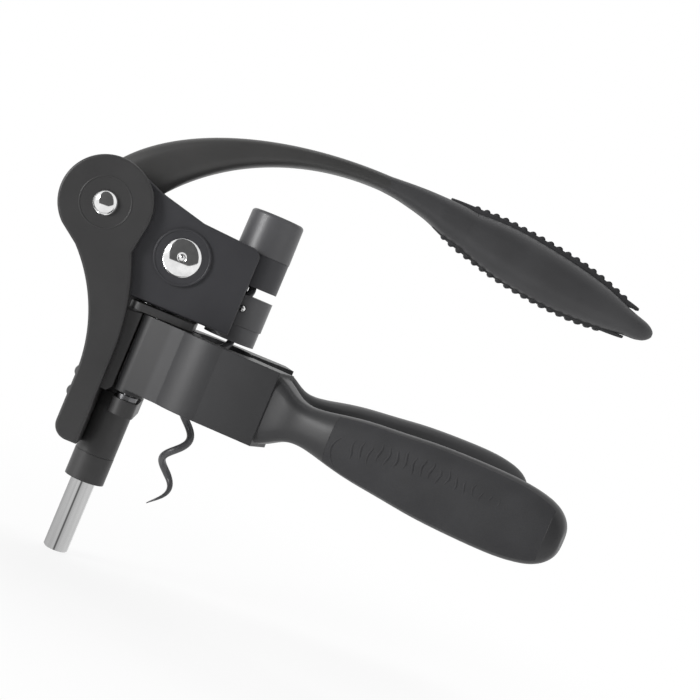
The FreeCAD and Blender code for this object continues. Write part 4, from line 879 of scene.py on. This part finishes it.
def view_axes(turn, roll, down):
    """Right, up and forward of a view turned about the rod's direction, dipped and rolled."""
    yaw, tilt, dip = math.radians(turn), math.radians(roll), math.radians(down)
    flat = math.cos(dip)
    forward = Vector((math.sin(yaw) * flat, math.cos(yaw) * flat, -math.sin(dip)))
    level = Vector((math.cos(yaw), -math.sin(yaw), 0.0))
    above = level.cross(forward)
    right = level * math.cos(tilt) + above * math.sin(tilt)
    up = above * math.cos(tilt) - level * math.sin(tilt)
    return right, up, forward


def studio_stand(tree, right, up, forward):
    """1 towards the studio's dark stand, which rises in front of the table, and 0 elsewhere."""
    coords = add(tree, "ShaderNodeTexCoord")
    parts = []
    for axis in (right, up, -forward):
        dot = add(tree, "ShaderNodeVectorMath", operation="DOT_PRODUCT")
        join(tree, coords, "Generated", dot, 0)
        dot.inputs[1].default_value = axis
        parts.append(dot.outputs["Value"])
    sideways, upwards, towards = parts
    facing = maths(tree, "MAXIMUM", towards, LEAST_FACING)
    inside = maths(tree, "GREATER_THAN", towards, 0.0)
    limits = ((sideways, STAND_LEFT, STAND_RIGHT), (upwards, STAND_FOOT, STAND_TOP))
    for part, low, high in limits:
        slope = maths(tree, "DIVIDE", part, facing)
        inside = maths(tree, "MULTIPLY", inside, maths(tree, "GREATER_THAN", slope, low))
        inside = maths(tree, "MULTIPLY", inside, maths(tree, "LESS_THAN", slope, high))
    return inside


def studio_sky(axes):
    """White to the camera, white with a dark stand to mirrors, and a plain soft fill elsewhere."""
    world = bpy.data.worlds.new("studio")
    scene.world = world
    world.use_nodes = True
    tree = world.node_tree
    path = add(tree, "ShaderNodeLightPath").outputs
    seen = maths(tree, "ADD", path["Is Camera Ray"], path["Is Glossy Ray"], use_clamp=True)
    seen = maths(tree, "ADD", seen, path["Is Transmission Ray"], use_clamp=True)
    level = blended(tree, seen, SKY_FILL, 1.0)
    mirrored = maths(tree, "MULTIPLY", studio_stand(tree, *axes), path["Is Glossy Ray"])
    back = tree.nodes["Background"]
    back.inputs["Color"].default_value = WHITE
    tree.links.new(blended(tree, mirrored, level, STAND_LEVEL), back.inputs["Strength"])


def soft_lamp(name, spot, width, watts, mirrored):
    """A round soft lamp aimed at the middle."""
    lamp = bpy.data.lights.new(name, "AREA")
    lamp.shape = "DISK"
    lamp.size = width
    lamp.energy = watts
    holder = bpy.data.objects.new(name, lamp)
    holder.visible_glossy = mirrored
    holder.location = spot
    holder.rotation_mode = "QUATERNION"
    holder.rotation_quaternion = (MIDDLE - spot).to_track_quat("-Z", "Y")
    scene.collection.objects.link(holder)


def aim_camera(right, up, forward):
    """A camera in front of the middle, looking along the view's axes."""
    camera = bpy.data.cameras.new("camera")
    camera.lens = LENS
    camera.sensor_width = SENSOR
    camera.clip_start = NEAREST
    camera.clip_end = FARTHEST
    holder = bpy.data.objects.new("camera", camera)
    turned = Matrix((right, up, -forward)).transposed().to_4x4()
    holder.matrix_world = Matrix.Translation(MIDDLE - forward * CAMERA_DISTANCE) @ turned
    scene.collection.objects.link(holder)
    scene.camera = holder


right, up, forward = view_axes(VIEW_TURN, VIEW_ROLL, VIEW_DOWN)
white_floor(cad_box[0].z - FLOOR_DROP)
studio_sky((right, up, forward))
for name, (ahead, above, aside), width, watts, mirrored in LAMPS:
    spot = MIDDLE + forward * ahead + up * above + right * aside
    soft_lamp(name, spot, width, watts, mirrored)
aim_camera(right, up, forward)

scene.view_settings.view_transform = "Standard"
